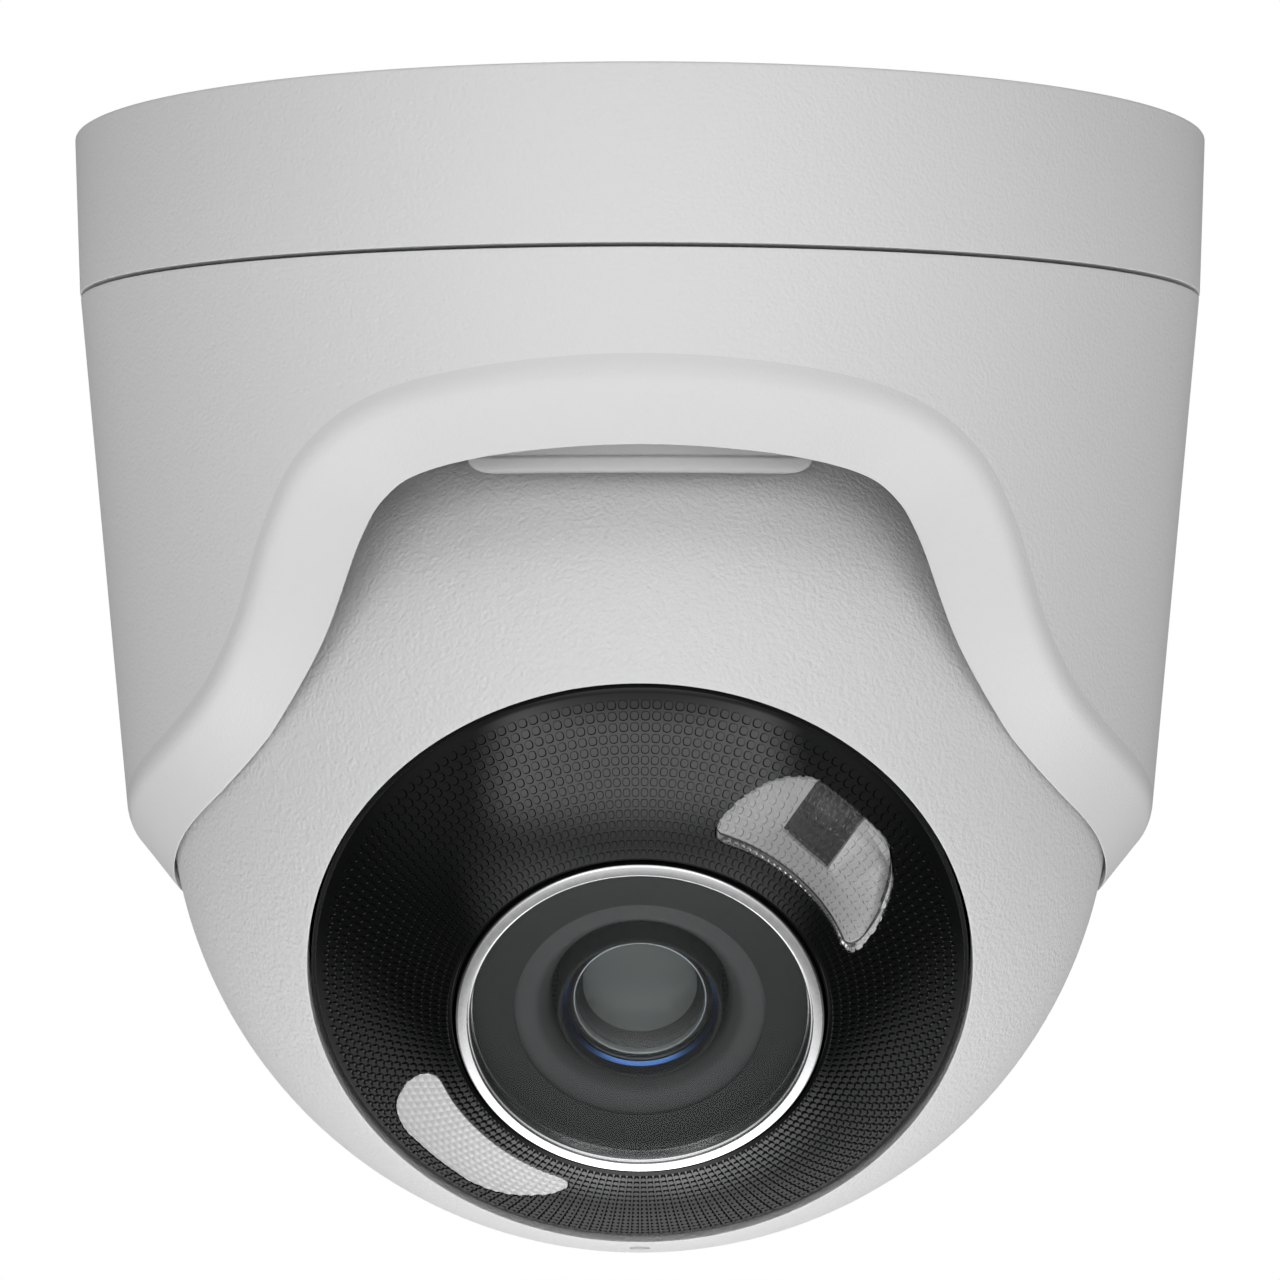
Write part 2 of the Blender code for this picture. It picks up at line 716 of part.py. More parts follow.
def light_set(side, turn, frame):
    """Board, reflector and light behind one window."""
    board = lathe(
        f"{side}_led_board",
        [(19.0, 31.2), (26.6, 31.2), (26.6, 30.0), (19.0, 30.0)],
        "circuit_board",
        frame,
        10,
        90 - turn - 21,
        42,
    )
    trough = [
        (19.4, 36.9),
        (20.1, 36.9),
        (20.9, 32.4),
        (25.0, 32.4),
        (25.8, 34.3),
        (26.4, 34.3),
        (25.6, 31.6),
        (19.4, 31.6),
    ]
    reflector = lathe(
        f"{side}_reflector", trough, "mirror", frame, 10, 90 - turn - 22, 44
    )
    bearing = math.radians(turn)
    spot = [(23.0 * math.sin(bearing), 23.0 * math.cos(bearing))]
    well = cylinders(f"{side}_led_well", spot, 2.0, 25, 40, frame)
    cut(reflector, well)
    return board, reflector


def light(name, slot, turn, frame):
    """Lamp with a round lens, standing in the reflector's well."""
    outline = [(0, 34.6), (0.9, 34.3), (1.5, 33.6), (1.7, 32.6), (1.7, 31.5), (0, 31.5)]
    lamp = lathe(name, outline, slot, frame, ROUND_SMALL)
    bearing = math.radians(turn)
    lamp.location = (23.0 * MM * math.sin(bearing), 23.0 * MM * math.cos(bearing), 0)
    return lamp


# ---------------------------------------------------------------- lens


def lens_barrel(frame):
    outline = [
        (7.4, 40.0),
        (7.4, 35.0),
        (6.0, 34.2),
        (6.0, 19.0),
        (3.4, 19.0),
        (3.4, 22.6),
        (4.2, 22.6),
        (4.2, 26.4),
        (5.1, 26.4),
        (5.1, 31.8),
        (6.1, 34.6),
        (6.1, 39.4),
        (6.5, 40.3),
        (7.1, 40.3),
    ]
    return lathe("lens_barrel", outline, "dark_plastic", frame, 24)


def lens_element(name, radius, low, high, crown, frame):
    """A round lens, domed on both sides."""
    outline = [
        (0, high + crown),
        (radius * 0.5, high + crown * 0.75),
        (radius, high),
        (radius, low),
        (radius * 0.5, low - crown * 0.5),
        (0, low - crown * 0.6),
    ]
    return lathe(name, outline, "glass", frame, 24)


def lens_retainer(frame):
    outline = [(5.0, 39.9), (5.8, 39.9), (5.8, 39.2), (5.0, 39.2)]
    return lathe("lens_retainer", outline, "dark_plastic", frame, 24)


def lens_holder(frame):
    """Tube that takes the lens barrel, on a box that houses the day/night filter."""
    roof = 16.3
    holder = box("lens_holder", (-14, -6.6, 10.0), (14, 18.2, roof + 1.5), "dark_plastic", frame)
    tube = cylinders("lens_holder_tube", [(0, 0)], 8.2, roof + 0.5, 27.0, frame)
    hollow = box("lens_holder_hollow", (-12.6, -5.2, 5.0), (12.6, 16.8, roof), "chip", frame)
    bore = cylinders("lens_holder_bore", [(0, 0)], 6.5, roof - 2, 30.0, frame)
    join(holder, tube)
    return cut(holder, hollow, bore)


def image_sensor(frame):
    return box("image_sensor", (-4, -3.2, 10.0), (4, 3.2, 11.0), "chip", frame)


# ---------------------------------------------------------------- day/night filter


def filter_frame(frame):
    """Sliding frame with one glass aperture and one open one, and a notch for the arm's pin."""
    top = FILTER_LEVEL + 0.8
    plate = box("filter_frame", (-4.6, -4.6, FILTER_LEVEL), (12.1, 7.4, top), "dark_plastic", frame)
    day = box("day_aperture", (-3.5, -3.5, 10), (3.5, 3.5, 20), "chip", frame)
    night = box("night_aperture", (4.1, -3.5, 10), (11.1, 3.5, 20), "chip", frame)
    pin_x = FILTER_TRAVEL / 2
    notch = box("pin_notch", (pin_x - 1, 4.4, 10), (pin_x + 1, 9, 20), "chip", frame)
    left = box("frame_corner_left", (-6, 4.2, 10), (1.2, 9, 20), "chip", frame)
    right = box("frame_corner_right", (6.3, 4.2, 10), (14, 9, 20), "chip", frame)
    return cut(plate, day, night, notch, left, right)


def filter_glass(frame):
    low = FILTER_LEVEL + 0.15
    return box("infrared_cut_glass", (-3.2, -3.2, low), (3.2, 3.2, low + 0.5), "glass", frame)


def filter_arm(frame):
    """Arm on the motor's shaft, whose pin pushes the filter frame. Its origin is its pivot."""
    pivot = empty("filter_arm_pivot", (0, ARM_PIVOT_Y, 0), (0, 0, 0), frame)
    pin = (FILTER_TRAVEL / 2, ARM_PIN_Y - ARM_PIVOT_Y)
    length = math.hypot(*pin)
    bearing = math.atan2(pin[1], pin[0])
    arm = cylinders("filter_arm", [(0, 0)], 1.9, 15.1, 15.9, pivot)
    bar = box("filter_arm_bar", (0, -0.8, 15.1), (length + 0.6, 0.8, 15.9), "chip", pivot)
    bar.rotation_euler.z = bearing
    stub = cylinders("filter_arm_pin", [pin], 0.5, 13.9, 15.4, pivot)
    return join(arm, bar, stub)


def filter_motor(frame):
    return cylinders("filter_motor", [(0, ARM_PIVOT_Y)], 3.2, 10.2, 14.7, frame, "steel")


# ---------------------------------------------------------------- boards and chassis


def chassis(frame):
    """Moulded ring inside the front shell that carries the boards on four posts each side."""
    ring = [(26.0, 5.0), (39.4, 5.0), (39.4, 3.0), (26.0, 3.0)]
    body = lathe("chassis", ring, "dark_plastic", frame)
    corner = 19.6
    spots = [(x, y) for x in (-corner, corner) for y in (-corner, corner)]
    posts = cylinders("chassis_posts", spots, 2.2, MAIN_BOARD_TOP + GAP, 8.2, frame)
    return join(body, posts)


def sensor_board(frame):
    half = 22.0
    chamfer = 2.5
    low = SENSOR_BOARD_TOP - 1.2
    outline = [
        (half - chamfer, -half),
        (half, -half + chamfer),
        (half, half - chamfer),
        (half - chamfer, half),
        (-half + chamfer, half),
        (-half, half - chamfer),
        (-half, -half + chamfer),
        (-half + chamfer, -half),
    ]
    return prism("sensor_board", outline, low, SENSOR_BOARD_TOP, "circuit_board", frame)


def main_board(frame):
    low = MAIN_BOARD_TOP - 1.4
    outline = [(0, MAIN_BOARD_TOP), (33, MAIN_BOARD_TOP), (33, low), (0, low)]
    return lathe("main_board", outline, "circuit_board", frame, 32)


def processor(frame):
    return box("processor", (-8, -8, -5.4), (8, 8, -4.1), "chip", frame)


def thermal_pad(frame):
    return box("thermal_pad", (-8, -8, -7.7), (8, 8, -5.7), "pad", frame)


def heat_spreader(frame):
    """Plate behind the processor, with three posts that the rear shell is screwed to."""
    disc = [(0, -8.0), (30, -8.0), (30, -10.0), (0, -10.0)]
    plate = lathe("heat_spreader", disc, "aluminium", frame, 28)
    posts = cylinders("heat_spreader_posts", BALL_SCREWS, 3.2, -39.1, -9.0, frame)
    threads = cylinders("heat_spreader_threads", BALL_SCREWS, 1.5, -45, -28.5, frame)
    join(plate, posts)
    return cut(plate, threads)


def card_socket(frame):
    """Open metal cover over the memory card, on the rear of the main board."""
    socket = box("card_socket", (-20.5, -25, -6.0), (-8.5, -11, -4.1), "steel", frame)
    mouth = box("card_socket_mouth", (-20.0, -30, -5.6), (-9.0, -12, -4.5), "chip", frame)
    return cut(socket, mouth)


def memory_card(frame):
    return box("memory_card", (-19.7, -26.5, -5.3), (-9.3, -12.5, -4.8), "chip", frame)


def ribbon_cable(frame):
    """Flat film that links the sensor board to the main board round the chassis posts."""
    half_width = 6.0
    path = [(16.0, 8.1), (17.0, 8.1), (24.4, 6.4), (24.4, 0.2), (17.0, -1.8), (16.0, -1.8)]
    inner = [(16.0, 7.8), (17.0, 7.8), (24.1, 6.2), (24.1, 0.4), (17.0, -1.5), (16.0, -1.5)]
    bm = bmesh.new()
    sides = []
    for x in (-half_width, half_width):
        sides.append([bm.verts.new((x, y, z)) for y, z in path + inner[::-1]])
    for j in range(len(sides[0])):
        k = (j + 1) % len(sides[0])
        bm.faces.new((sides[0][j], sides[0][k], sides[1][k], sides[1][j]))
    bm.faces.new(sides[0])
    bm.faces.new(sides[1])
    return finish(bm, "ribbon_cable", "gold_film", frame)


def microphone(frame):
    """Capsule behind the small round hole under the face."""
    bm = bmesh.new()
    add_cylinder(bm, 0, 0, 2.0, 41.3, 43.2)
    turn = Matrix.Rotation(math.radians(MICROPHONE_ANGLE), 4, "X")
    bmesh.ops.transform(bm, matrix=turn, verts=bm.verts)
    return finish(bm, "microphone", "steel", frame)


# ---------------------------------------------------------------- assembly


def build():
    clear_scene()
    base = empty("base_frame")
    pan = empty("pan_axis")
    centre = (0, 0, BALL_CENTRE)
    looking = (math.radians(90 + LENS_BELOW_LEVEL), 0, 0)
    tilt = empty("tilt_axis", centre, looking)
    roll = empty("lens_axis", centre, looking)

    for make in (
        ceiling_bracket,
        locking_screw,
        base_shell,
        ceiling_seal,
        cable_grommet,
        network_board,
        network_jack,
        service_loop,
    ):
        make(base)

    for make in (skirt, retaining_ring, upper_socket, friction_liner):
        make(pan)
    for number, spot in enumerate(SOCKET_SCREWS, 1):
        skirt_screw(number, spot, pan)

    cable_boot(tilt)
    ball_lead(tilt)

    for make in (
        ball_front_shell,
        ball_rear_shell,
        ball_seal,
        face_bezel,
        lens_trim_ring,
        lens_window,
        light_shield,
        lens_barrel,
        lens_retainer,
        lens_holder,
        image_sensor,
        filter_frame,
        filter_glass,
        filter_arm,
        filter_motor,
        chassis,
        sensor_board,
        main_board,
        processor,
        thermal_pad,
        heat_spreader,
        card_socket,
        memory_card,
        ribbon_cable,
        microphone,
    ):
        make(roll)
    for number, spot in enumerate(BALL_SCREWS, 1):
        ball_screw(number, spot, roll)
    light_window("upper_light_window", 45, roll)
    light_window("lower_light_window", 225, roll)
    light_set("upper", 45, roll)
    light_set("lower", 225, roll)
    light("infrared_led", "dark_plastic", 45, roll)
    light("white_led", "phosphor", 225, roll)
    lens_element("front_lens", 5.8, 35.6, 38.2, 0.9, roll)
    lens_element("middle_lens", 4.8, 28.0, 30.6, 0.8, roll)
    lens_element("rear_lens", 3.9, 23.6, 25.4, 0.6, roll)


build()
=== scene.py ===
"""Looks of the ceiling turret camera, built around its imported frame.

Lengths are millimetres, and finish_mesh() turns them into metres. Pieces of the drum are made in the
frame's own axes. Pieces of the ball are made in the lens frame: its origin is the ball's centre, +Z is the
way the lens looks, +X is to the right as seen from the front, and +Y is up on the face.
"""

import json
import math

import bmesh
import bpy
from mathutils import Matrix, Vector

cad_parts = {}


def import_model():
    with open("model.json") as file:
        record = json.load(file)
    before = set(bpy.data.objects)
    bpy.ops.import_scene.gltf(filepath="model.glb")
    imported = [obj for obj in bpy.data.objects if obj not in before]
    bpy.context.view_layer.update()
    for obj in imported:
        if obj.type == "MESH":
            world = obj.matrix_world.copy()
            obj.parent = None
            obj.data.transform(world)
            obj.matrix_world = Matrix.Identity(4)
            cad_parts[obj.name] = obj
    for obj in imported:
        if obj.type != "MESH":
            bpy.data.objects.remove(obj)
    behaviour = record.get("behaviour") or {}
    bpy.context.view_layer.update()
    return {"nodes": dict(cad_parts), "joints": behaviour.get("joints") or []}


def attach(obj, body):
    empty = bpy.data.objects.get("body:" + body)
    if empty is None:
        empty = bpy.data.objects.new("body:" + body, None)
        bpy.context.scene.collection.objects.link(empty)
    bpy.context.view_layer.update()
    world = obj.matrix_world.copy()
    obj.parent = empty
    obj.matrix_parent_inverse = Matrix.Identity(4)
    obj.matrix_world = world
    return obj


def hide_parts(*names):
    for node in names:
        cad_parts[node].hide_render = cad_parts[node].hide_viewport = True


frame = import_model()

MM = 0.001
GAP = 0.3  # clearance between neighbouring pieces
JOINTS = {joint["name"]: joint for joint in frame["joints"]}
BALL_CENTRE = Vector(JOINTS["tilt"]["pos_m"]) / MM
LENS_AXIS = Vector(JOINTS["roll"]["axis"])
DRUM = Matrix.Identity(4)
LENS = Matrix.Translation(BALL_CENTRE) @ LENS_AXIS.to_track_quat("Z", "Y").to_matrix().to_4x4()


def span(node, place):
    """Largest radius about the Z axis of place, lowest and highest point along it, of a CAD node."""
    back = place.inverted()
    points = [back @ (vertex.co / MM) for vertex in frame["nodes"][node].data.vertices]
    heights = [point.z for point in points]
    return max(point.xy.length for point in points), min(heights), max(heights)


# Drum, from the frame
BASE_RADIUS, BASE_FOOT, BASE_TOP = span("base_shell", DRUM)
SKIRT_TOP = BASE_FOOT - 0.35
SKIRT_TOP_RADIUS = BASE_RADIUS - 0.54
SKIRT_TAPER = 0.0911  # loss of radius for each millimetre down
SKIRT_WALL = 2.4
RIM_WIDTH = 4.9  # how far the sloped rim runs inward
RIM_ROUNDING = 0.9
LIP_ROUNDING = 0.35
SEAM_ROUNDING = 0.12
BALL_LEVEL = BALL_CENTRE.z

# Mounting face
ENTRY_Y = -22.0  # cable entry, in front of the middle of the ceiling face
BRACKET_ENTRY = 8.8  # radius of its hole in the bracket
WEB_ENTRY = 6.9  # radius of its hole in the base's web
LEAD_BORE = 3.4  # radius of the grommet's hole
BRACKET_SCREW_CIRCLE = 36.0  # radius

# Ball and face, from the frame
BALL_RADIUS = BALL_LEVEL - span("ball_front_shell", DRUM)[1]
BALL_WALL = 2.2
SOCKET_RADIUS = BALL_RADIUS + 0.42
BALL_SPLIT = span("ball_front_shell", LENS)[1]
REAR_FLAT = span("ball_rear_shell", LENS)[1]
BEZEL_RADIUS = span("face_bezel", LENS)[0]
FACE_OPENING = BEZEL_RADIUS + GAP
BEZEL_SPHERE = BALL_RADIUS - 0.6
BEZEL_THICK = 2.0
WINDOW_THICK = 0.9
TRIM_RADIUS, TRIM_BACK, TRIM_TOP = span("lens_trim_ring", LENS)
MICROPHONE_ANGLE = 44.6  # degrees from the lens axis, towards the bottom

# Rings of raised pads on the face
PAD_COLUMNS = 180
PAD_ROWS = 15
PADS_OUTER = 39.25  # degrees from the lens axis
PAD_STEP_OUTER = 1.25
PAD_STEP_INNER = 1.07
PAD_CORNERS = 12
PAD_FOOT = 0.82  # share of a cell's half width
PAD_HEAD = 0.68
PAD_LIFT = 0.17
WINDOW_PAD_FOOT = 0.94
WINDOW_PAD_HEAD = 0.52
UPPER_PAD_LIFT = 0.26
LOWER_PAD_LIFT = 0.10

SMOOTH = 192  # segments of a full turn on the large round pieces
MEDIUM = 96

# The arch, front to side, as pairs of points on its outer and inner edge: the angle from the front
# about the vertical axis, in degrees, and the height
ARCH = [
    (0.0, -25.7, 0.0, -31.85),
    (14.0, -26.6, 13.0, -32.5),
    (25.0, -28.8, 22.5, -34.0),
    (32.5, -32.8, 27.3, -36.1),
    (37.4, -38.4, 30.9, -39.8),
    (42.5, -47.0, 36.9, -48.9),
    (48.7, -53.3, 45.5, -56.8),
    (57.2, -57.75, 54.5, -62.0),
    (68.0, -61.4, 66.5, -66.4),
    (82.0, -65.3, 81.5, -71.4),
    (95.0, -68.4, 95.0, -74.0),
]
ARCH_STEPS = 12
REAR_STEPS = 40


# ------------ mesh helpers


def finish_mesh(bm, name, place, sharp=35):
    """Makes one object from a mesh in millimetres, with its faces pointing out."""
    bmesh.ops.remove_doubles(bm, verts=bm.verts, dist=0.0005)
    bmesh.ops.recalc_face_normals(bm, faces=bm.faces)
    bmesh.ops.transform(bm, matrix=Matrix.Scale(MM, 4) @ place, verts=bm.verts)
    mesh = bpy.data.meshes.new(name)
    bm.to_mesh(mesh)
    bm.free()
    return add_object(name, mesh, sharp)


def add_object(name, mesh, sharp):
    mesh.shade_smooth()
    mesh.set_sharp_from_angle(angle=math.radians(sharp))
    obj = bpy.data.objects.new(name, mesh)
    bpy.context.scene.collection.objects.link(obj)
    return obj


def bend(start, control, end, steps):
    """Points on a curve from start to end that leaves and arrives along the lines to control."""
    found = []
    for i in range(steps + 1):
        t = i / steps
        found.append((1 - t) ** 2 * start + 2 * t * (1 - t) * control + t**2 * end)
    return found


def softened(outline, steps=4):
    """A closed outline of (x, y) or (x, y, reach) corners, rounded from reach before to reach after."""
    found = []
    for i, corner in enumerate(outline):
        here = Vector(corner[:2])
        if len(corner) == 2:
            found.append(here)
            continue
        before = Vector(outline[i - 1][:2]) - here
        after = Vector(outline[(i + 1) % len(outline)][:2]) - here
        start = here + before.normalized() * min(corner[2], before.length / 2)
        end = here + after.normalized() * min(corner[2], after.length / 2)
        found += bend(start, here, end, steps)
    return found


def lathe(name, outline, place=LENS, segments=SMOOTH):
    """Turns a closed outline of (radius, height) or (radius, height, reach) corners about the Z axis."""
    bm = bmesh.new()
    verts = [bm.verts.new((r, 0.0, z)) for r, z in softened(outline)]
    for a, b in zip(verts, verts[1:] + verts[:1]):
        if a.co.xy.length > 0 or b.co.xy.length > 0:
            bm.edges.new((a, b))
    bmesh.ops.spin(
        bm,
        geom=bm.verts[:] + bm.edges[:],
        axis=(0, 0, 1),
        angle=math.tau,
        steps=segments,
        use_merge=True,
    )
    return finish_mesh(bm, name, place)


def prism(name, outline, low, high, place=LENS):
    """Stands a closed outline of (x, y) or (x, y, reach) corners up from low to high."""
    bm = bmesh.new()
    face = bm.faces.new([bm.verts.new((x, y, low)) for x, y in softened(outline)])
    grown = bmesh.ops.extrude_face_region(bm, geom=[face])["geom"]
    rise = [item for item in grown if isinstance(item, bmesh.types.BMVert)]
    bmesh.ops.translate(bm, vec=(0, 0, high - low), verts=rise)
    return finish_mesh(bm, name, place)


def rods(name, spots, radius, low, high, place=LENS, segments=48):
    """Upright cylinders at (x, y) spots, for holes."""
    bm = bmesh.new()
    for x, y in spots:
        bmesh.ops.create_cone(
            bm,
            cap_ends=True,
            segments=segments,
            radius1=radius,
            radius2=radius,
            depth=high - low,
            matrix=Matrix.Translation((x, y, (low + high) / 2)),
        )
    return finish_mesh(bm, name, place)


def block(name, low, high, place=LENS):
    """Box between two opposite corners."""
    (x0, y0, z0), (x1, y1, z1) = low, high
    return prism(name, [(x0, y0), (x1, y0), (x1, y1), (x0, y1)], z0, z1, place)


def stitch(bm, rows, closed):
    """Joins each row of vertices to the next with quads. A closed row also joins its last to its first."""
    quads = []
    for row, after in zip(rows, rows[1:]):
        for j in range(len(row) if closed else len(row) - 1):
            k = (j + 1) % len(row)
            quads.append(bm.faces.new((row[j], row[k], after[k], after[j])))
    return quads


def carve(target, operation, *tools, solver="EXACT", sharp=35):
    """Applies Booleans with the tools, which are then removed."""
    for tool in tools:
        modifier = target.modifiers.new(tool.name, "BOOLEAN")
        modifier.operation = operation
        modifier.solver = solver
        modifier.object = tool
    graph = bpy.context.evaluated_depsgraph_get()
    mesh = bpy.data.meshes.new_from_object(target.evaluated_get(graph))
    name = target.name
    for used in (target, *tools):
        bpy.data.objects.remove(used, do_unlink=True)
    mesh.name = name
    return add_object(name, mesh, sharp)


def ring_spots(radius, count, first_degrees):
    """Evenly spaced (x, y) points on a circle."""
    turns = [math.radians(first_degrees + 360 * i / count) for i in range(count)]
    return [(radius * math.cos(turn), radius * math.sin(turn)) for turn in turns]


def sphere_at(radius, height):
    """The distance from the axis at which a sphere about the origin has this height."""
    return math.sqrt(radius**2 - height**2)


def sphere_arc(radius, first_radial, last_radial, steps, side=1):
    """Outline points on a sphere about the origin, by distance from the axis, evenly in angle."""
    first = math.asin(first_radial / radius)
    last = math.asin(last_radial / radius)
    turns = [first + (last - first) * i / steps for i in range(steps + 1)]
    return [(radius * math.sin(t), side * radius * math.cos(t)) for t in turns]


def curve_through(points, steps, closed=False):
    """A Catmull-Rom curve through points of any dimension. An open one is level at its first point."""
    if closed:
        track = [points[-1]] + points + points[:2]
    else:
        mirrored = (-points[1][0], points[1][1], -points[1][2], points[1][3])
        last, before = points[-1], points[-2]
        beyond = (2 * last[0] - before[0], last[1], 2 * last[2] - before[2], last[3])
        track = [mirrored] + points + [beyond]
    found = []
    for p0, p1, p2, p3 in zip(track, track[1:], track[2:], track[3:]):
        for i in range(steps):
            t = i / steps
            weights = (
                -0.5 * t + t**2 - 0.5 * t**3,
                1 - 2.5 * t**2 + 1.5 * t**3,
                0.5 * t + 2 * t**2 - 1.5 * t**3,
                -0.5 * t**2 + 0.5 * t**3,
            )
            ends = zip(p0, p1, p2, p3)
            found.append(tuple(sum(w * p for w, p in zip(weights, four)) for four in ends))
    return found if closed else found + [points[-1]]


# ------------ shader nodes


def feed(tree, node, values):
    """Sets or links a node's inputs, by name or number."""
    for label, value in values.items():
        if isinstance(value, bpy.types.NodeSocket):
            tree.links.new(value, node.inputs[label])
        else:
            node.inputs[label].default_value = value


def add_node(tree, kind, values=None, **properties):
    made = tree.nodes.new(kind)
    for label, value in properties.items():
        setattr(made, label, value)
    feed(tree, made, values or {})
    return made


def maths(tree, operation, *values):
    return add_node(tree, "ShaderNodeMath", dict(enumerate(values)), operation=operation).outputs[0]


def blended(tree, factor, first, second):
    """Mixes two shaders."""
    return add_node(tree, "ShaderNodeMixShader", {0: factor, 1: first, 2: second}).outputs[0]


# ------------ materials


class Look:
    """A material whose Principled shader is fed by procedural textures in the piece's own space."""

    def __init__(self, name, colour, roughness, metallic=0.0):
        self.material = bpy.data.materials.new(name)
        self.material.use_nodes = True
        self.tree = self.material.node_tree
        self.shader = self.tree.nodes["Principled BSDF"]
        self.output = self.tree.nodes["Material Output"]
        self.colour = colour
        self.set(self.shader, {"Base Color": (*colour, 1.0), "Roughness": roughness, "Metallic": metallic})
        self.place = self.node("ShaderNodeTexCoord").outputs["Object"]

    def set(self, node, values):
        feed(self.tree, node, values)

    def node(self, kind, values=None, **properties):
        return add_node(self.tree, kind, values, **properties)

    def noise(self, size, detail=2.0, squash=(1, 1, 1), seed=0.0):
        """Cloudy values from 0 to 1, with features of this size."""
        shifted = self.node(
            "ShaderNodeMapping",
            {"Vector": self.place, "Scale": squash, "Location": (seed, seed, seed)},
        )
        values = {"Vector": shifted.outputs[0], "Scale": 1 / (size * MM), "Detail": detail}
        return self.node("ShaderNodeTexNoise", values).outputs["Fac"]

    def scaled(self, value, low, high, from_low=0.0, from_high=1.0):
        """Carries a value from one range over to another, and holds it at both ends."""
        values = {"Value": value, "From Min": from_low, "From Max": from_high, "To Min": low, "To Max": high}
        return self.node("ShaderNodeMapRange", values).outputs[0]

    def mixed(self, factor, first, second):
        """A colour between two, each an (r, g, b)."""
        values = {0: factor, 6: (*first, 1.0), 7: (*second, 1.0)}
        return self.node("ShaderNodeMix", values, data_type="RGBA").outputs[2]

    def tint(self, size, share=0.08):
        """Lets the colour wander by a share of itself."""
        darker = tuple(channel * (1 - share) for channel in self.colour)
        wander = self.mixed(self.noise(size, 3.0, seed=7.0), self.colour, darker)
        self.set(self.shader, {"Base Color": wander})
        return self

    def bumps(self, *layers):
        """Raises the surface by (height socket, depth in millimetres) layers."""
        normal = None
        for height, depth in layers:
            values = {"Height": height, "Strength": 1.0, "Distance": depth * MM}
            bump = self.node("ShaderNodeBump", values)
            if normal:
                self.set(bump, {"Normal": normal})
            normal = bump.outputs["Normal"]
        self.set(self.shader, {"Normal": normal})
        return self

    def worn(self, size, low, high):
        """Lets the roughness wander between two values."""
        self.set(self.shader, {"Roughness": self.scaled(self.noise(size, 4.0, seed=3.0), low, high)})
        return self


def white_plastic(name, white, size, depth):
    """Moulded white plastic with an eroded grain of this size and depth."""
    look = Look(name, (white, white, white), 0.5)
    look.tint(9.0, 0.02).worn(size, 0.44, 0.54)
    look.set(look.shader, {"Specular IOR Level": 0.55})
    look.bumps((look.noise(size, 1.5), depth), (look.noise(size * 2.5, 2.0, seed=2.0), depth * 0.5))
    return look.material


def gloss_black(name):
    """Polished black plastic of the face."""
    look = Look(name, (0.0035, 0.0038, 0.0038), 0.08)
    look.worn(3.0, 0.06, 0.12)
    look.tint(2.0, 0.2)
    return look.material


def dull(name, colour, roughness, size=1.2, depth=0.02, share=0.12, shine=0.5):
    """Plain moulded or painted finish with a fine tooth."""
    look = Look(name, colour, roughness)
    look.set(look.shader, {"Specular IOR Level": shine})
    look.tint(size * 6, share).worn(size, roughness * 0.85, min(1.0, roughness * 1.15))
    look.bumps((look.noise(size, 3.0), depth))
    return look.material


def metal(name, colour, low, high, streak=(1, 1, 1)):
    """Metal whose roughness wanders from low to high, drawn out along a streak."""
    look = Look(name, colour, high, 1.0)
    marks = look.noise(0.4, 3.0, streak)
    look.set(look.shader, {"Roughness": look.scaled(marks, low, high)})
    look.tint(5.0, 0.06).bumps((marks, 0.002))
    return look.material


def satin_silver(name):
    """Bright metallised moulding of the light reflectors, nearly white."""
    look = Look(name, (0.92, 0.92, 0.92), 0.3, 0.2)
    look.tint(3.0, 0.04).worn(1.5, 0.26, 0.36)
    look.bumps((look.noise(2.0, 2.0), 0.01))
    return look.material


def clear_plastic(name, haze):
    """Clear light windows with a share of haze. Painted shade: to the camera only, their steep pad walls are
    darkened by how far they turn away, as darker outlines.
    """
    look = Look(name, (0.85, 0.85, 0.85), 0.3)
    look.tint(2.0, 0.04)
    facing = look.node("ShaderNodeLayerWeight", {"Blend": 0.55}).outputs["Facing"]
    # Painted shade for camera rays only: walls seen edge-on pass less light and read as dark outlines.
    seen = look.node("ShaderNodeLightPath").outputs["Is Camera Ray"]
    outline = maths(look.tree, "MULTIPLY", look.scaled(facing, 0.0, 1.0, 0.4, 0.85), seen)
    tint = look.mixed(outline, (0.98, 0.98, 0.98), (0.35, 0.36, 0.36))
    clear = look.node("ShaderNodeBsdfTransparent", {"Color": tint}).outputs[0]
    roughness = look.scaled(look.noise(2.0, 3.0), 0.02, 0.06)
    sheen = look.node("ShaderNodeBsdfGlossy", {"Color": (1, 1, 1, 1), "Roughness": roughness}).outputs[0]
    fresnel = look.node("ShaderNodeFresnel", {"IOR": 1.5}).outputs[0]
    polished = blended(look.tree, fresnel, clear, sheen)
    look.set(look.output, {"Surface": blended(look.tree, haze, polished, look.shader.outputs[0])})
    return look.material


def thin_glass(name, tint, strength):
    """Coated glass that lets light straight through and reflects a share of it."""
    look = Look(name, tint, 0.0)
    clear = look.node("ShaderNodeBsdfTransparent", {"Color": (*tint, 1.0)}).outputs[0]
    roughness = look.scaled(look.noise(4.0, 3.0), 0.0, 0.03)
    sheen = look.node("ShaderNodeBsdfGlossy", {"Color": (1, 1, 1, 1), "Roughness": roughness}).outputs[0]
    fresnel = look.node("ShaderNodeFresnel", {"IOR": 1.45}).outputs[0]
    share = maths(look.tree, "MULTIPLY", fresnel, strength)
    look.set(look.output, {"Surface": blended(look.tree, share, clear, sheen)})
    look.tree.nodes.remove(look.shader)
    return look.material


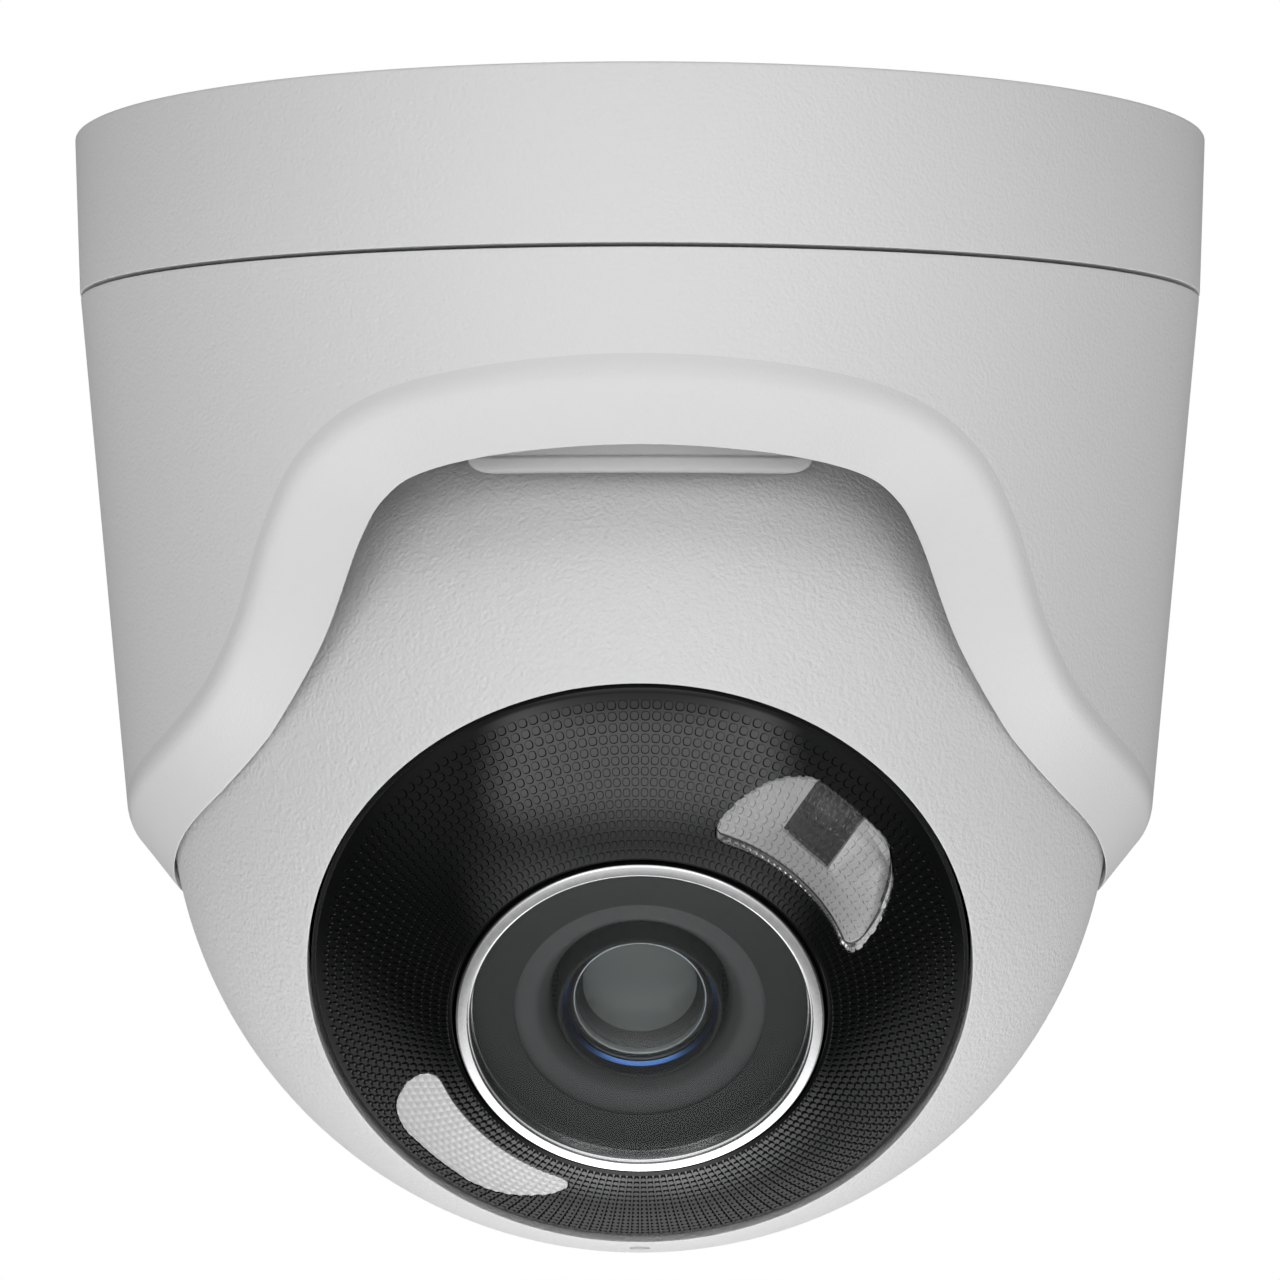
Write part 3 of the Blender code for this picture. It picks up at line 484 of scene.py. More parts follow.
def coated_lens(name, deep, glow):
    """Dark glass of a lens element, whose coating colours what it mirrors towards the edge."""
    look = Look(name, deep, 0.03)
    facing = look.node("ShaderNodeLayerWeight", {"Blend": 0.35}).outputs["Facing"]
    look.set(look.shader, {"Specular Tint": look.mixed(facing, (0.9, 1.0, 0.92), glow)})
    look.set(look.shader, {"Specular IOR Level": 0.8, "IOR": 1.5})
    look.set(look.shader, {"Roughness": look.scaled(look.noise(1.5, 2.0), 0.02, 0.05)})
    return look.material


def circuit_board(name):
    """Green solder mask over copper tracks."""
    look = Look(name, (0.01, 0.09, 0.04), 0.35)
    brick = look.node(
        "ShaderNodeTexBrick",
        {"Vector": look.place, "Scale": 900.0, "Mortar Size": 0.05, "Color1": (0.01, 0.09, 0.04, 1)},
    )
    look.set(brick, {"Color2": (0.012, 0.12, 0.05, 1), "Mortar": (0.03, 0.2, 0.09, 1)})
    look.set(look.shader, {"Base Color": brick.outputs["Color"]})
    look.bumps((brick.outputs["Fac"], 0.03), (look.noise(0.6, 2.0), 0.01))
    return look.material


# How each look is made
RECIPES = {
    "drum_plastic": (white_plastic, 0.78, 0.34, 0.06),
    # The rim's plastic has a finer grain than the drum's, and a darker white: painted shade.
    "rim_plastic": (white_plastic, 0.71, 0.30, 0.03),
    # The ball's plastic has a coarser grain than the drum's, and a brighter white: painted light.
    "ball_plastic": (white_plastic, 0.815, 0.40, 0.12),
    "bezel_plastic": (gloss_black,),
    "clear_plastic": (clear_plastic, 0.03),
    "hazy_plastic": (clear_plastic, 0.62),
    "window_glass": (thin_glass, (0.95, 0.965, 0.96), 0.22),
    "lens_glass": (coated_lens, (0.012, 0.015, 0.014), (0.25, 0.45, 1.0)),
    "outer_lens": (thin_glass, (0.96, 0.97, 0.97), 0.25),
    "blue_coat": (metal, (0.05, 0.11, 0.28), 0.08, 0.14),
    "inner_lens": (dull, (0.134, 0.136, 0.135), 0.35, 0.6, 0.001, 0.05),
    "chrome": (metal, (0.72, 0.72, 0.73), 0.20, 0.28),
    "mirror": (satin_silver,),
    "steel": (metal, (0.55, 0.55, 0.56), 0.2, 0.4, (1, 1, 8)),
    "aluminium": (metal, (0.62, 0.62, 0.64), 0.3, 0.5, (1, 12, 1)),
    "mask_paint": (dull, (0.0145, 0.0165, 0.0155), 0.5, 0.5, 0.0, 0.02, 0.2),
    "shield_rubber": (dull, (0.066, 0.066, 0.069), 0.7, 0.4, 0.002, 0.12, 0.3),
    "dark_plastic": (dull, (0.012, 0.012, 0.013), 0.45),
    "barrel_plastic": (dull, (0.018, 0.018, 0.019), 0.6, 0.5, 0.002, 0.05, 0.15),
    "rubber": (dull, (0.02, 0.02, 0.02), 0.75, 0.8, 0.03),
    "foam": (dull, (0.04, 0.04, 0.042), 0.95, 0.5, 0.2, 0.4),
    "chip": (dull, (0.015, 0.015, 0.016), 0.5, 0.3, 0.01),
    "gold_film": (dull, (0.50, 0.27, 0.06), 0.4, 0.9, 0.01),
    "phosphor": (dull, (0.62, 0.60, 0.50), 0.35, 0.4, 0.01),
    "cable": (dull, (0.72, 0.72, 0.72), 0.6, 0.9, 0.02, 0.05),
    "pad": (dull, (0.25, 0.30, 0.40), 0.9, 0.5, 0.05),
    "circuit_board": (circuit_board,),
    "light_board": (dull, (0.010, 0.010, 0.011), 0.5),
}
LOOKS = {}


def dress(piece, body, look, *nodes):
    """Gives a piece its look or looks and its body, and hides the CAD nodes it stands for."""
    looks = [look] if isinstance(look, str) else look
    if any(used is None for used in piece.data.materials):
        piece.data.materials.clear()
    for name in looks:
        piece.data.materials.append(LOOKS[name])
    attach(piece, body)
    if nodes:
        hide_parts(*nodes)


# ------------ mounting base


def ceiling_bracket():
    """Flat plate with screw holes and a lug that takes the locking screw."""
    radius, low, high = 50.6, -2.4, 0.0
    plate = [
        (0, high), (radius - 1, high), (radius, high, 0.3), (radius, low, 0.3), (radius - 1, low),
        (0, low),
    ]
    bracket = lathe("bracket", plate, DRUM)
    holes = rods("holes", ring_spots(BRACKET_SCREW_CIRCLE, 3, 90), 2.4, -5, 5, DRUM)
    entry = rods("entry", [(0, ENTRY_Y)], BRACKET_ENTRY, -5, 5, DRUM, MEDIUM)
    sinks = rods("sinks", ring_spots(44.0, 6, 60), 1.1, -5, 5, DRUM)
    lug = block("lug", (-5, 44.5, -9.6), (5, 49.5, -1.2), DRUM)
    bracket = carve(bracket, "UNION", lug)
    thread = rods("thread", [(0, 0)], 1.75, 45.5, 52, side_screw_place())
    return carve(bracket, "DIFFERENCE", holes, sinks, entry, thread)


def side_screw_place():
    """Frame whose +Z runs along +Y at the height of the locking screw."""
    return Matrix.Translation((0, 0, -6.9)) @ Matrix.Rotation(math.radians(-90), 4, "X")


def screw_head(name, radius, low, high, shank, shank_end, place, drive):
    """Turned screw with a rounded head whose six-sided drive is cut in from high."""
    toward = 1 if high > low else -1
    outline = [
        (0, high), (radius * 0.8, high, 0.3), (radius, high - toward * 0.35, 0.2),
        (radius, low, 0.1), (shank, low), (shank, shank_end, 0.2), (0, shank_end),
    ]
    screw = lathe(name, outline, place, 48)
    ends = sorted((high - toward * 0.8, high + toward * 0.5))
    bit = rods("bit", [(0, 0)], drive, *ends, place, 6)
    return carve(screw, "DIFFERENCE", bit)


def base_shell():
    """Hollow upper band of the drum, with a web that the cable comes through."""
    foot_radius = BASE_RADIUS - 0.47
    outline = [
        (51.0, BASE_TOP, 0.15), (51.9, BASE_TOP, 0.15), (51.9, -1.2), (54.1, -1.2),
        (54.1, BASE_TOP, 0.15), (BASE_RADIUS, BASE_TOP, 0.35),
        (foot_radius, BASE_FOOT, SEAM_ROUNDING), (49.6, BASE_FOOT, 0.2), (49.6, -13.5, 0.2),
        (52.3, -13.5, 0.3), (52.3, -5.0, 0.3), (0, -5.0), (0, -3.0), (51.0, -3.0, 0.3),
    ]
    shell = lathe("drum_base", outline, DRUM, 256)
    entry = rods("entry", [(0, ENTRY_Y)], WEB_ENTRY, -8, -2, DRUM, MEDIUM)
    access = rods("access", ring_spots(BRACKET_SCREW_CIRCLE, 3, 90), 5.6, -8, -2, DRUM)
    notch = block("notch", (-5.6, 43.9, -8), (5.6, 50.1, -2.6), DRUM)
    screw_hole = rods("screw_hole", [(0, 0)], 2.75, 50.5, 58, side_screw_place())
    return carve(shell, "DIFFERENCE", entry, access, notch, screw_hole)


def ceiling_seal():
    """Foam ring that seals against the ceiling."""
    outline = [(52.2, 0.0, 0.25), (53.8, 0.0, 0.25), (53.8, -0.9, 0.2), (52.2, -0.9, 0.2)]
    return lathe("foam_ring", outline, DRUM)


def cable_grommet():
    """Rubber ring that grips the edge of the web's hole and passes the network lead."""
    lip = WEB_ENTRY + 1.4
    groove = WEB_ENTRY - GAP
    outline = [
        (LEAD_BORE, -1.6, 0.5), (lip, -1.6, 0.6), (lip, -2.7, 0.3), (groove, -2.7, 0.2),
        (groove, -5.3, 0.2), (lip, -5.3, 0.3), (lip, -6.4, 0.6), (LEAD_BORE, -6.4, 0.5),
    ]
    return lathe("grommet", outline, Matrix.Translation((0, ENTRY_Y, 0)), MEDIUM)


def build_base():
    dress(ceiling_bracket(), "base", "steel", "ceiling_bracket")
    dress(base_shell(), "base", "drum_plastic", "base_shell")
    dress(ceiling_seal(), "base", "foam", "ceiling_seal")
    dress(cable_grommet(), "base", "rubber", "cable_grommet")
    place = side_screw_place()
    screw = screw_head("side_screw", 2.4, 52.8, 54.3, 1.4, 46.0, place, 1.15)
    dress(screw, "base", "steel", "locking_screw")


# ------------ skirt and socket


def skirt_radius(height):
    """Radius of the skirt's outside at a height."""
    return SKIRT_TOP_RADIUS - SKIRT_TAPER * (SKIRT_TOP - height)


def socket_at(height):
    """Radius of the socket's hollow at a height."""
    return math.sqrt(SOCKET_RADIUS**2 - (height - BALL_LEVEL) ** 2)


def skirt_column(edges):
    """One upright slice of the skirt, as (angle, radius, height) points, and how many lie on its wall.

    The edges are the turn and height of the rim's outer edge, then those of its inner edge.
    """
    outer_turn, outer_height, inner_turn, inner_height = edges
    rim_radius = skirt_radius(outer_height)
    inner_radius = rim_radius - RIM_WIDTH
    if abs(inner_height - BALL_LEVEL) < SOCKET_RADIUS:
        inner_radius = max(inner_radius, socket_at(inner_height))
    # Away from the opening, along the wall, square to the arch
    along = math.radians(outer_turn - inner_turn) * rim_radius
    away = Vector((along, outer_height - inner_height)).normalized()

    def moved(turn, height, reach):
        return turn + math.degrees(reach * away.x / rim_radius), height + reach * away.y

    def on_wall(reach):
        turn, height = moved(outer_turn, outer_height, reach)
        return Vector((turn, skirt_radius(height), height))

    wall = on_wall(RIM_ROUNDING)
    corner = Vector((outer_turn, rim_radius, outer_height))
    lip = Vector((inner_turn, inner_radius, inner_height))
    slope_length = math.hypot(along, outer_height - inner_height, RIM_WIDTH)
    beyond = on_wall(RIM_ROUNDING + 0.5)
    top = Vector((beyond.x, SKIRT_TOP_RADIUS, SKIRT_TOP))
    top_inside = Vector((beyond.x, SKIRT_TOP_RADIUS - SEAM_ROUNDING, SKIRT_TOP))
    drop = SEAM_ROUNDING / (SKIRT_TOP - beyond.z)
    points = bend(top_inside, top, top.lerp(beyond, drop), 3)
    points += [top.lerp(beyond, share) for share in (drop * 3, 0.3, 0.6)] + [beyond]
    wall_rows = len(points)
    slope_start = RIM_ROUNDING / slope_length
    points += bend(wall, corner, corner.lerp(lip, slope_start), 8)
    edge = LIP_ROUNDING / slope_length
    shares = (slope_start + 0.08, 0.5, 1 - edge * 2)
    points += [corner.lerp(lip, share) for share in shares]
    if inner_height < BALL_LEVEL:
        middle_height = (inner_height + BALL_LEVEL) / 2
        middle_radius = socket_at(middle_height)
        lip_radius = SOCKET_RADIUS + 0.1
    else:
        middle_height = inner_height + 1.0
        middle_radius = inner_radius + 0.1
        lip_radius = inner_radius + 0.2
    middle = Vector((inner_turn, middle_radius, middle_height))
    after = lip.lerp(middle, LIP_ROUNDING / (middle - lip).length)
    points += bend(corner.lerp(lip, 1 - edge), lip, after, 6)
    points += [lip.lerp(middle, 0.75), middle]
    # The inside runs back behind the rim, as far from the opening as its outside does
    lip_turn, lip_top = moved(inner_turn, inner_height, 3.0)
    lip_top = max(lip_top, middle_height + 0.5)
    if inner_height < BALL_LEVEL + 3.0:
        lip_top = max(lip_top, BALL_LEVEL + 3.0, middle_height + 1.5)
    points.append(Vector((lip_turn, lip_radius, lip_top)))
    wall_start = lip_top + 1.4
    flange = SKIRT_TOP - SKIRT_WALL
    for height in (wall_start, flange):
        points.append(Vector((wall.x, skirt_radius(height) - SKIRT_WALL, height)))
    collar = ((45.0, flange), (45.0, -13.4), (49.2, -13.4), (49.2, SKIRT_TOP))
    points += [Vector((wall.x, radius, height)) for radius, height in collar]
    return points, wall_rows


def skirt():
    """Tapered shell with an arched opening at the front and a sloped rim round its whole edge."""
    half = curve_through(ARCH, ARCH_STEPS)
    last = half[-1][0]
    for i in range(1, REAR_STEPS + 1):
        turn = last + (180 - last) * i / REAR_STEPS
        half.append((turn, ARCH[-1][1], turn, ARCH[-1][3]))
    mirrored = [(-a, b, -c, d) for a, b, c, d in reversed(half[1:-1])]
    bm = bmesh.new()
    columns = []
    for edges in half + mirrored:
        points, wall_rows = skirt_column(edges)
        column = []
        for turn, radius, height in points:
            angle = math.radians(turn - 90)
            column.append(bm.verts.new((radius * math.cos(angle), radius * math.sin(angle), height)))
        columns.append(column)
    for index, face in enumerate(stitch(bm, columns + columns[:1], True)):
        # The rim's rows get the second look, a darker white than the wall's: painted shade.
        face.material_index = int(wall_rows - 1 <= index % len(points) < wall_rows + 20)
    return finish_mesh(bm, "drum_skirt", DRUM, 40)


def socket_tab():
    """Curved tab that closes the top of the arch, with a smooth bead along its lower edge."""
    half_width, corner = 22.0, 3.0  # degrees
    back, front, bottom, top = 39.0, 41.2, -33.7, -19.4
    bead = 1.5
    outline = [
        (back, top), (front - 0.25, top), (front - 0.25, bottom + bead + 0.1, 0.05),
        (front - 0.45, bottom + bead, 0.05), (front, bottom + bead - 0.2, 0.15),
        (front, bottom, 0.6), (back, bottom, 0.2),
    ]
    profile = softened(outline, 5)
    steps = 72
    bm = bmesh.new()
    columns = []
    for i in range(steps + 1):
        share = 2 * i / steps - 1
        turn = half_width * share
        into = max(0.0, abs(turn) - (half_width - corner)) / corner
        lift = 1.4 * (1 - math.sqrt(max(0.0, 1 - into**2)))
        angle = math.radians(turn - 90)
        column = []
        for radius, height in profile:
            raised = height + lift * max(0.0, 1 - (height - bottom) / 4.0)
            column.append(bm.verts.new((radius * math.cos(angle), radius * math.sin(angle), raised)))
        columns.append(column)
    stitch(bm, columns, True)
    bm.faces.new(columns[0])
    bm.faces.new(columns[-1])
    return finish_mesh(bm, "socket_tab", DRUM, 40)


def upper_socket():
    """Ring above the ball that presses on it, joined to the tab."""
    seat_radius = SOCKET_RADIUS + 1.2
    seat = [(r, BALL_LEVEL + z) for r, z in sphere_arc(seat_radius, 35.6, 31.2, 8)]
    outline = [
        (31.2, -18.1, 0.3), (50.9, -18.1, 0.3), (50.9, -20.5, 0.3), (49.6, -22.8, 0.3),
        (44.6, -22.8, 0.3), (42.5, -20.6, 0.3), (34.8, -20.6, 0.3), (36.8, seat[0][1] + 1.0, 0.2),
    ] + seat
    ring = lathe("socket_ring", outline, DRUM)
    slot = block("slot", (-7, 8, -40), (7, 44, -10), DRUM)
    ring = carve(ring, "DIFFERENCE", slot)
    return carve(ring, "UNION", socket_tab(), sharp=40)


def build_turret():
    dress(skirt(), "turret", ["drum_plastic", "rim_plastic"], "skirt")
    # The socket ring takes the rim's darker white: painted shade.
    dress(upper_socket(), "turret", "rim_plastic", "upper_socket")


# ------------ ball shells


def ball_front_shell():
    """Front part of the ball, with the round opening for the face and the microphone's hole."""
    inner_sphere = BALL_RADIUS - BALL_WALL
    edge = 0.25
    outside = sphere_arc(BALL_RADIUS, FACE_OPENING + edge, BALL_RADIUS, 56)
    rim_height = math.sqrt(BALL_RADIUS**2 - FACE_OPENING**2)
    outline = [(FACE_OPENING, rim_height - 0.05, edge)] + outside
    outline += [
        (sphere_at(BALL_RADIUS, BALL_SPLIT), BALL_SPLIT, 0.15), (41.4, BALL_SPLIT), (41.4, -9.5),
        (40.0, -9.5), (40.0, -3.2), (43.6, -0.6),
    ]
    outline += sphere_arc(inner_sphere, 43.6, FACE_OPENING, 16)
    shell = lathe("front_ball", outline, LENS, 256)
    tilt = Matrix.Rotation(math.radians(MICROPHONE_ANGLE), 4, "X")
    hole = rods("hole", [(0, 0)], 1.0, 40, 50, LENS @ tilt, 40)
    return carve(shell, "DIFFERENCE", hole)


BALL_SCREWS = ring_spots(13.0, 3, 90)


def ball_rear_shell():
    """Rear part of the ball, flat at the back where the lead leaves."""
    split = BALL_SPLIT - 0.35
    inner_sphere = BALL_RADIUS - BALL_WALL
    floor = REAR_FLAT + 3.0
    outer_edge = sphere_at(BALL_RADIUS, split)
    flat_edge = sphere_at(BALL_RADIUS, REAR_FLAT)
    outer = sphere_arc(BALL_RADIUS, outer_edge, flat_edge + 0.4, 40, -1)
    inner = sphere_arc(
        inner_sphere, sphere_at(inner_sphere, floor), sphere_at(inner_sphere, split), 20, -1
    )
    outline = outer + [(flat_edge, REAR_FLAT, 0.4), (3.8, REAR_FLAT, 0.3), (3.8, floor)] + inner
    shell = lathe("rear_ball", outline, LENS, 256)
    pockets = rods("pockets", BALL_SCREWS, 2.7, -45, -40.9)
    holes = rods("holes", BALL_SCREWS, 1.5, -45, -35)
    return carve(shell, "DIFFERENCE", pockets, holes)


def ball_screws():
    """Three screws that hold the rear shell on."""
    for number, (x, y) in enumerate(BALL_SCREWS, 1):
        place = LENS @ Matrix.Translation((x, y, 0))
        name = f"rear_screw_{number}"
        screw = screw_head(name, 2.3, -41.2, -42.4, 1.2, -30.0, place, 1.1)
        dress(screw, "ball", "steel", f"ball_screw_{number}")


def cable_boot():
    """Strain relief where the lead leaves the ball."""
    outline = [
        (2.0, -36.5), (3.2, -36.5), (3.2, -42.8), (5.2, -42.8, 0.2), (5.2, -43.9, 0.4),
        (3.6, -46.3, 0.5), (2.0, -46.3, 0.2),
    ]
    return lathe("lead_boot", outline, LENS, 64)


def ball_lead():
    outline = [(0, -34.5), (1.6, -34.5, 0.1), (1.6, -46.8, 0.1), (0, -46.8)]
    return lathe("lead", outline, LENS, 48)


def build_ball_shells():
    # The ball's shells are a brighter white than the drum: painted light.
    dress(ball_front_shell(), "ball", "ball_plastic", "ball_front_shell")
    dress(ball_rear_shell(), "ball", "ball_plastic", "ball_rear_shell")
    ball_screws()
    dress(cable_boot(), "tilt_carrier", "rubber", "cable_boot")
    dress(ball_lead(), "tilt_carrier", "cable", "ball_lead")


# ------------ face with raised pads


def on_face(polar, azimuth, lift=0.0):
    """A point of the domed face, from its angles about the lens in degrees."""
    radius = BEZEL_SPHERE + lift
    p, a = math.radians(polar), math.radians(azimuth)
    return (
        radius * math.sin(p) * math.cos(a),
        radius * math.sin(p) * math.sin(a),
        radius * math.cos(p),
    )


def pad_corners():
    """Corners of a rounded square of half width 1, as a superellipse."""
    found = []
    for i in range(PAD_CORNERS):
        angle = math.radians(15 + 360 * i / PAD_CORNERS)
        reach = (abs(math.cos(angle)) ** 3 + abs(math.sin(angle)) ** 3) ** (-1 / 3)
        found.append((reach * math.cos(angle), reach * math.sin(angle)))
    return found


def face_stations(thick):
    """Rings of the face's section, from the lens tunnel over the front, as (radius, height, pads follow)."""
    tunnel = TRIM_RADIUS + GAP
    back = BEZEL_SPHERE - thick
    rows = [PADS_OUTER]
    for i in range(PAD_ROWS):
        narrower = (PAD_STEP_OUTER - PAD_STEP_INNER) * i / (PAD_ROWS - 1)
        rows.append(rows[-1] - PAD_STEP_OUTER + narrower)
    front_edge = sphere_at(BEZEL_SPHERE, tunnel)
    outer_polar = math.degrees(math.asin(BEZEL_RADIUS / BEZEL_SPHERE))
    outer_height = sphere_at(BEZEL_SPHERE, BEZEL_RADIUS)
    stations = [(tunnel, 38.0, False), (tunnel, front_edge - 0.3, False)]
    first_pads = BEZEL_SPHERE * math.sin(math.radians(rows[-1]))
    stations += [(r, z, False) for r, z in sphere_arc(BEZEL_SPHERE, tunnel + 0.3, first_pads, 2)[:-1]]
    for row, polar in enumerate(reversed(rows)):
        x, _, z = on_face(polar, 0)
        stations.append((x, z, row < PAD_ROWS))
    for share in (0.4, 0.75):
        x, _, z = on_face(PADS_OUTER + (outer_polar - PADS_OUTER) * share, 0)
        stations.append((x, z, False))
    stations += [
        (BEZEL_RADIUS - 0.06, outer_height - 0.02, False),
        (BEZEL_RADIUS, outer_height - 0.3, False), (BEZEL_RADIUS, 32.2, False), (28.1, 32.2, False),
        (28.0, 33.1, False),
    ]
    stations += [(r, z, False) for r, z in sphere_arc(back, 27.6, tunnel + 2.4, 12)]
    stations.append((tunnel + 1.4, 38.0, False))
    return stations


def padded_face(name, thick=BEZEL_THICK, foot=PAD_FOOT, head=PAD_HEAD, rise=PAD_LIFT):
    """The whole face as one closed shell, with rings of raised pads on its front."""
    stations = face_stations(thick)
    step = 360 / PAD_COLUMNS
    corners = pad_corners()
    verts = []
    faces = []
    for radius, height, _ in stations:
        for x, y in ring_spots(radius, PAD_COLUMNS, 0):
            verts.append((x, y, height))
    for i, (radius, height, padded) in enumerate(stations):
        first = i * PAD_COLUMNS
        second = (i + 1) % len(stations) * PAD_COLUMNS
        inner_polar = math.degrees(math.atan2(radius, height))
        after = stations[(i + 1) % len(stations)]
        outer_polar = math.degrees(math.atan2(after[0], after[1]))
        for j in range(PAD_COLUMNS):
            k = (j + 1) % PAD_COLUMNS
            if not padded:
                faces.append((first + j, second + j, second + k, first + k))
                continue
            base = len(verts)
            for share, lift in ((foot, 0.0), (head, rise)):
                for u, v in corners:
                    polar = (inner_polar + outer_polar + v * share * (outer_polar - inner_polar)) / 2
                    verts.append(on_face(polar, (j + 0.5 + u * share / 2) * step, lift))
            cell = (second + k, second + j, first + j, first + k)
            faces += pad_faces(cell, base)
    bm = bmesh.new()
    made = [bm.verts.new(vert) for vert in verts]
    for face in faces:
        bm.faces.new([made[index] for index in face])
    return finish_mesh(bm, name, LENS, 50)


def pad_faces(cell, base):
    """Faces of one cell: the ground round the pad, the pad's wall and its top."""
    faces = []
    for q, corner in enumerate(cell):
        foot = [base + (3 * q + i) % PAD_CORNERS for i in range(4)]
        faces.append((corner, foot[1], foot[0]))
        faces.append((corner, foot[2], foot[1]))
        faces.append((corner, cell[(q + 1) % 4], foot[3], foot[2]))
    for i in range(PAD_CORNERS):
        k = (i + 1) % PAD_CORNERS
        faces.append((base + i, base + k, base + PAD_CORNERS + k, base + PAD_CORNERS + i))
    faces.append([base + PAD_CORNERS + i for i in range(PAD_CORNERS)])
    return faces


def window_outline(shrink, turn):
    """Outline of a light window: an inner arc, an outer arc and rounded shoulders."""
    side = [(24.2, 19.2), (26.2, 20.2), (24.6, 21.7), (21.6, 23.4), (16.5, 25.4), (10.0, 26.6)]
    inner = [(-16.0 + 8.0 * i, 19.2) for i in range(5)]
    outer = [(5.0 - 5.0 * i, 26.6) for i in range(3)]
    path = [(-a, r) for a, r in reversed(side)] + inner + side + outer
    middle = 23.0
    found = []
    for angle, radius in curve_through(path, 4, closed=True):
        nearer = radius + math.copysign(shrink, middle - radius)
        slimmer = angle - math.copysign(math.degrees(shrink / radius), angle) * abs(angle) / 26
        bearing = math.radians(slimmer + turn)
        found.append((nearer * math.sin(bearing), nearer * math.cos(bearing)))
    return found


UPPER, LOWER = 45, 225  # bearings of the two light windows, in degrees clockwise from the top


def face_bezel():
    """Black face with an opening for each light."""
    bezel = padded_face("padded_bezel")
    openings = [prism(f"opening_{turn}", window_outline(0, turn), 30, 50) for turn in (UPPER, LOWER)]
    return carve(bezel, "DIFFERENCE", *openings, solver="MANIFOLD", sharp=50)


def light_window(name, turn, rise):
    """Clear insert that fills one opening of the face and carries on its pads."""
    face = padded_face(name, WINDOW_THICK, WINDOW_PAD_FOOT, WINDOW_PAD_HEAD, rise)
    plug = prism("plug", window_outline(0.12, turn), 30, 50)
    return carve(face, "INTERSECT", plug, solver="MANIFOLD", sharp=50)


def build_face():
    dress(face_bezel(), "ball", "bezel_plastic", "face_bezel")
    dress(light_window("upper_window", UPPER, UPPER_PAD_LIFT), "ball", "clear_plastic", "upper_light_window")
    dress(light_window("lower_window", LOWER, LOWER_PAD_LIFT), "ball", "hazy_plastic", "lower_light_window")


# ------------ lights


def reflector_shell(name, turn, deep):
    """Silvered bowl close behind a light window: two facets that fall towards a square well."""
    half, flat, shallow = 26.5, 6.0, 1.3  # degrees, degrees, then depth behind the face at the ends
    section = [(19.25, 0.0), (20.1, 0.75), (20.8, 1.0), (25.0, 1.0), (25.7, 0.75), (26.55, 0.0)]
    steps = 36
    bm = bmesh.new()
    rows = []
    for i in range(steps + 1):
        angle = half * (2 * i / steps - 1)
        fall = 1 - max(0.0, abs(angle) - flat) / (half - flat)
        bearing = math.radians(turn + angle)
        row = []
        for radius, share in section:
            depth = shallow + (deep - shallow) * fall * share
            height = sphere_at(BEZEL_SPHERE - depth, radius)
            row.append(bm.verts.new((radius * math.sin(bearing), radius * math.cos(bearing), height)))
        rows.append(row)
    stitch(bm, rows, False)
    sheet = finish_mesh(bm, name, LENS, 20)
    thick = sheet.modifiers.new("wall", "SOLIDIFY")
    thick.thickness = 0.4 * MM
    thick.offset = 0.0
    place = LENS @ Matrix.Rotation(math.radians(-turn), 4, "Z")
    well = block("well", (-2.9, 20.5, 25), (2.9, 26.0, 50), place)
    plug = prism("plug", window_outline(0.15, turn), 25, 50)
    shell = carve(sheet, "DIFFERENCE", well, sharp=20)
    return carve(shell, "INTERSECT", plug, sharp=20)


def light_package(name, turn):
    """Square package of a light, with a round lens on top."""
    place = LENS @ Matrix.Rotation(math.radians(-turn), 4, "Z") @ Matrix.Translation((0, 23.2, 0))
    base = block(name, (-2.6, -2.5, 31.5), (2.6, 2.5, 32.4), place)
    outline = [(0, 34.7), (0.9, 34.5), (1.7, 33.9), (2.15, 33.0), (2.15, 32.2), (0, 32.2)]
    lens = lathe("dome", outline, place, 48)
    return carve(base, "UNION", lens)


def build_lights():
    dress(reflector_shell("upper_mirror", UPPER, 3.6), "ball", "mirror", "upper_reflector")
    dress(reflector_shell("lower_mirror", LOWER, 2.4), "ball", "mirror", "lower_reflector")
    dress(light_package("infrared_light", UPPER), "ball", "dark_plastic", "infrared_led")
    dress(light_package("white_light", LOWER), "ball", "phosphor", "white_led")


# ------------ lens


def lens_trim_ring():
    """Bright ring with a broad flat band and a thin step next to the glass."""
    outline = [
        (TRIM_RADIUS, TRIM_BACK), (TRIM_RADIUS, TRIM_TOP - 0.22, 0.1),
        (TRIM_RADIUS - 0.15, TRIM_TOP - 0.11, 0.06), (15.30, TRIM_TOP, 0.06),
        (15.28, TRIM_TOP - 0.35, 0.05), (15.10, TRIM_TOP - 0.35, 0.08), (15.02, TRIM_TOP - 0.8),
        (15.02, 40.4), (13.8, 40.4), (13.8, TRIM_BACK),
    ]
    return lathe("trim_ring", outline)


def lens_window():
    """Flat round glass in front of the lens."""
    low, high = span("lens_window", LENS)[1:]
    outline = [(0, high), (14.95, high, 0.15), (14.95, low, 0.05), (0, low)]
    return lathe("front_glass", outline)


def window_mask():
    """Printed border on the back of the glass."""
    top = span("lens_window", LENS)[1] - 0.03
    outline = [(11.2, top), (14.9, top), (14.9, top - 0.1), (11.2, top - 0.1)]
    return lathe("printed_border", outline)


def light_shield():
    """Dark collar round the barrel that keeps stray light out."""
    outline = [(13.4, 40.35), (9.2, 39.9, 0.5), (8.2, 38.6, 0.5), (7.9, 37.4), (13.4, 37.4)]
    return lathe("inner_shield", outline)


def lens_barrel():
    """Tube with a wide mouth for the outer element and a step for the inner one."""
    outline = [
        (7.4, 40.1, 0.15), (7.4, 35.0), (6.0, 34.2), (6.0, 19.0), (3.4, 19.0), (3.4, 22.6),
        (4.2, 22.6), (4.2, 26.4), (5.1, 26.4), (5.25, 36.4), (5.45, 37.6, 0.1), (5.75, 37.7, 0.05),
        (6.95, 38.3), (6.95, 40.3, 0.1), (7.25, 40.4, 0.1),
    ]
    return lathe("barrel", outline, LENS, 128)


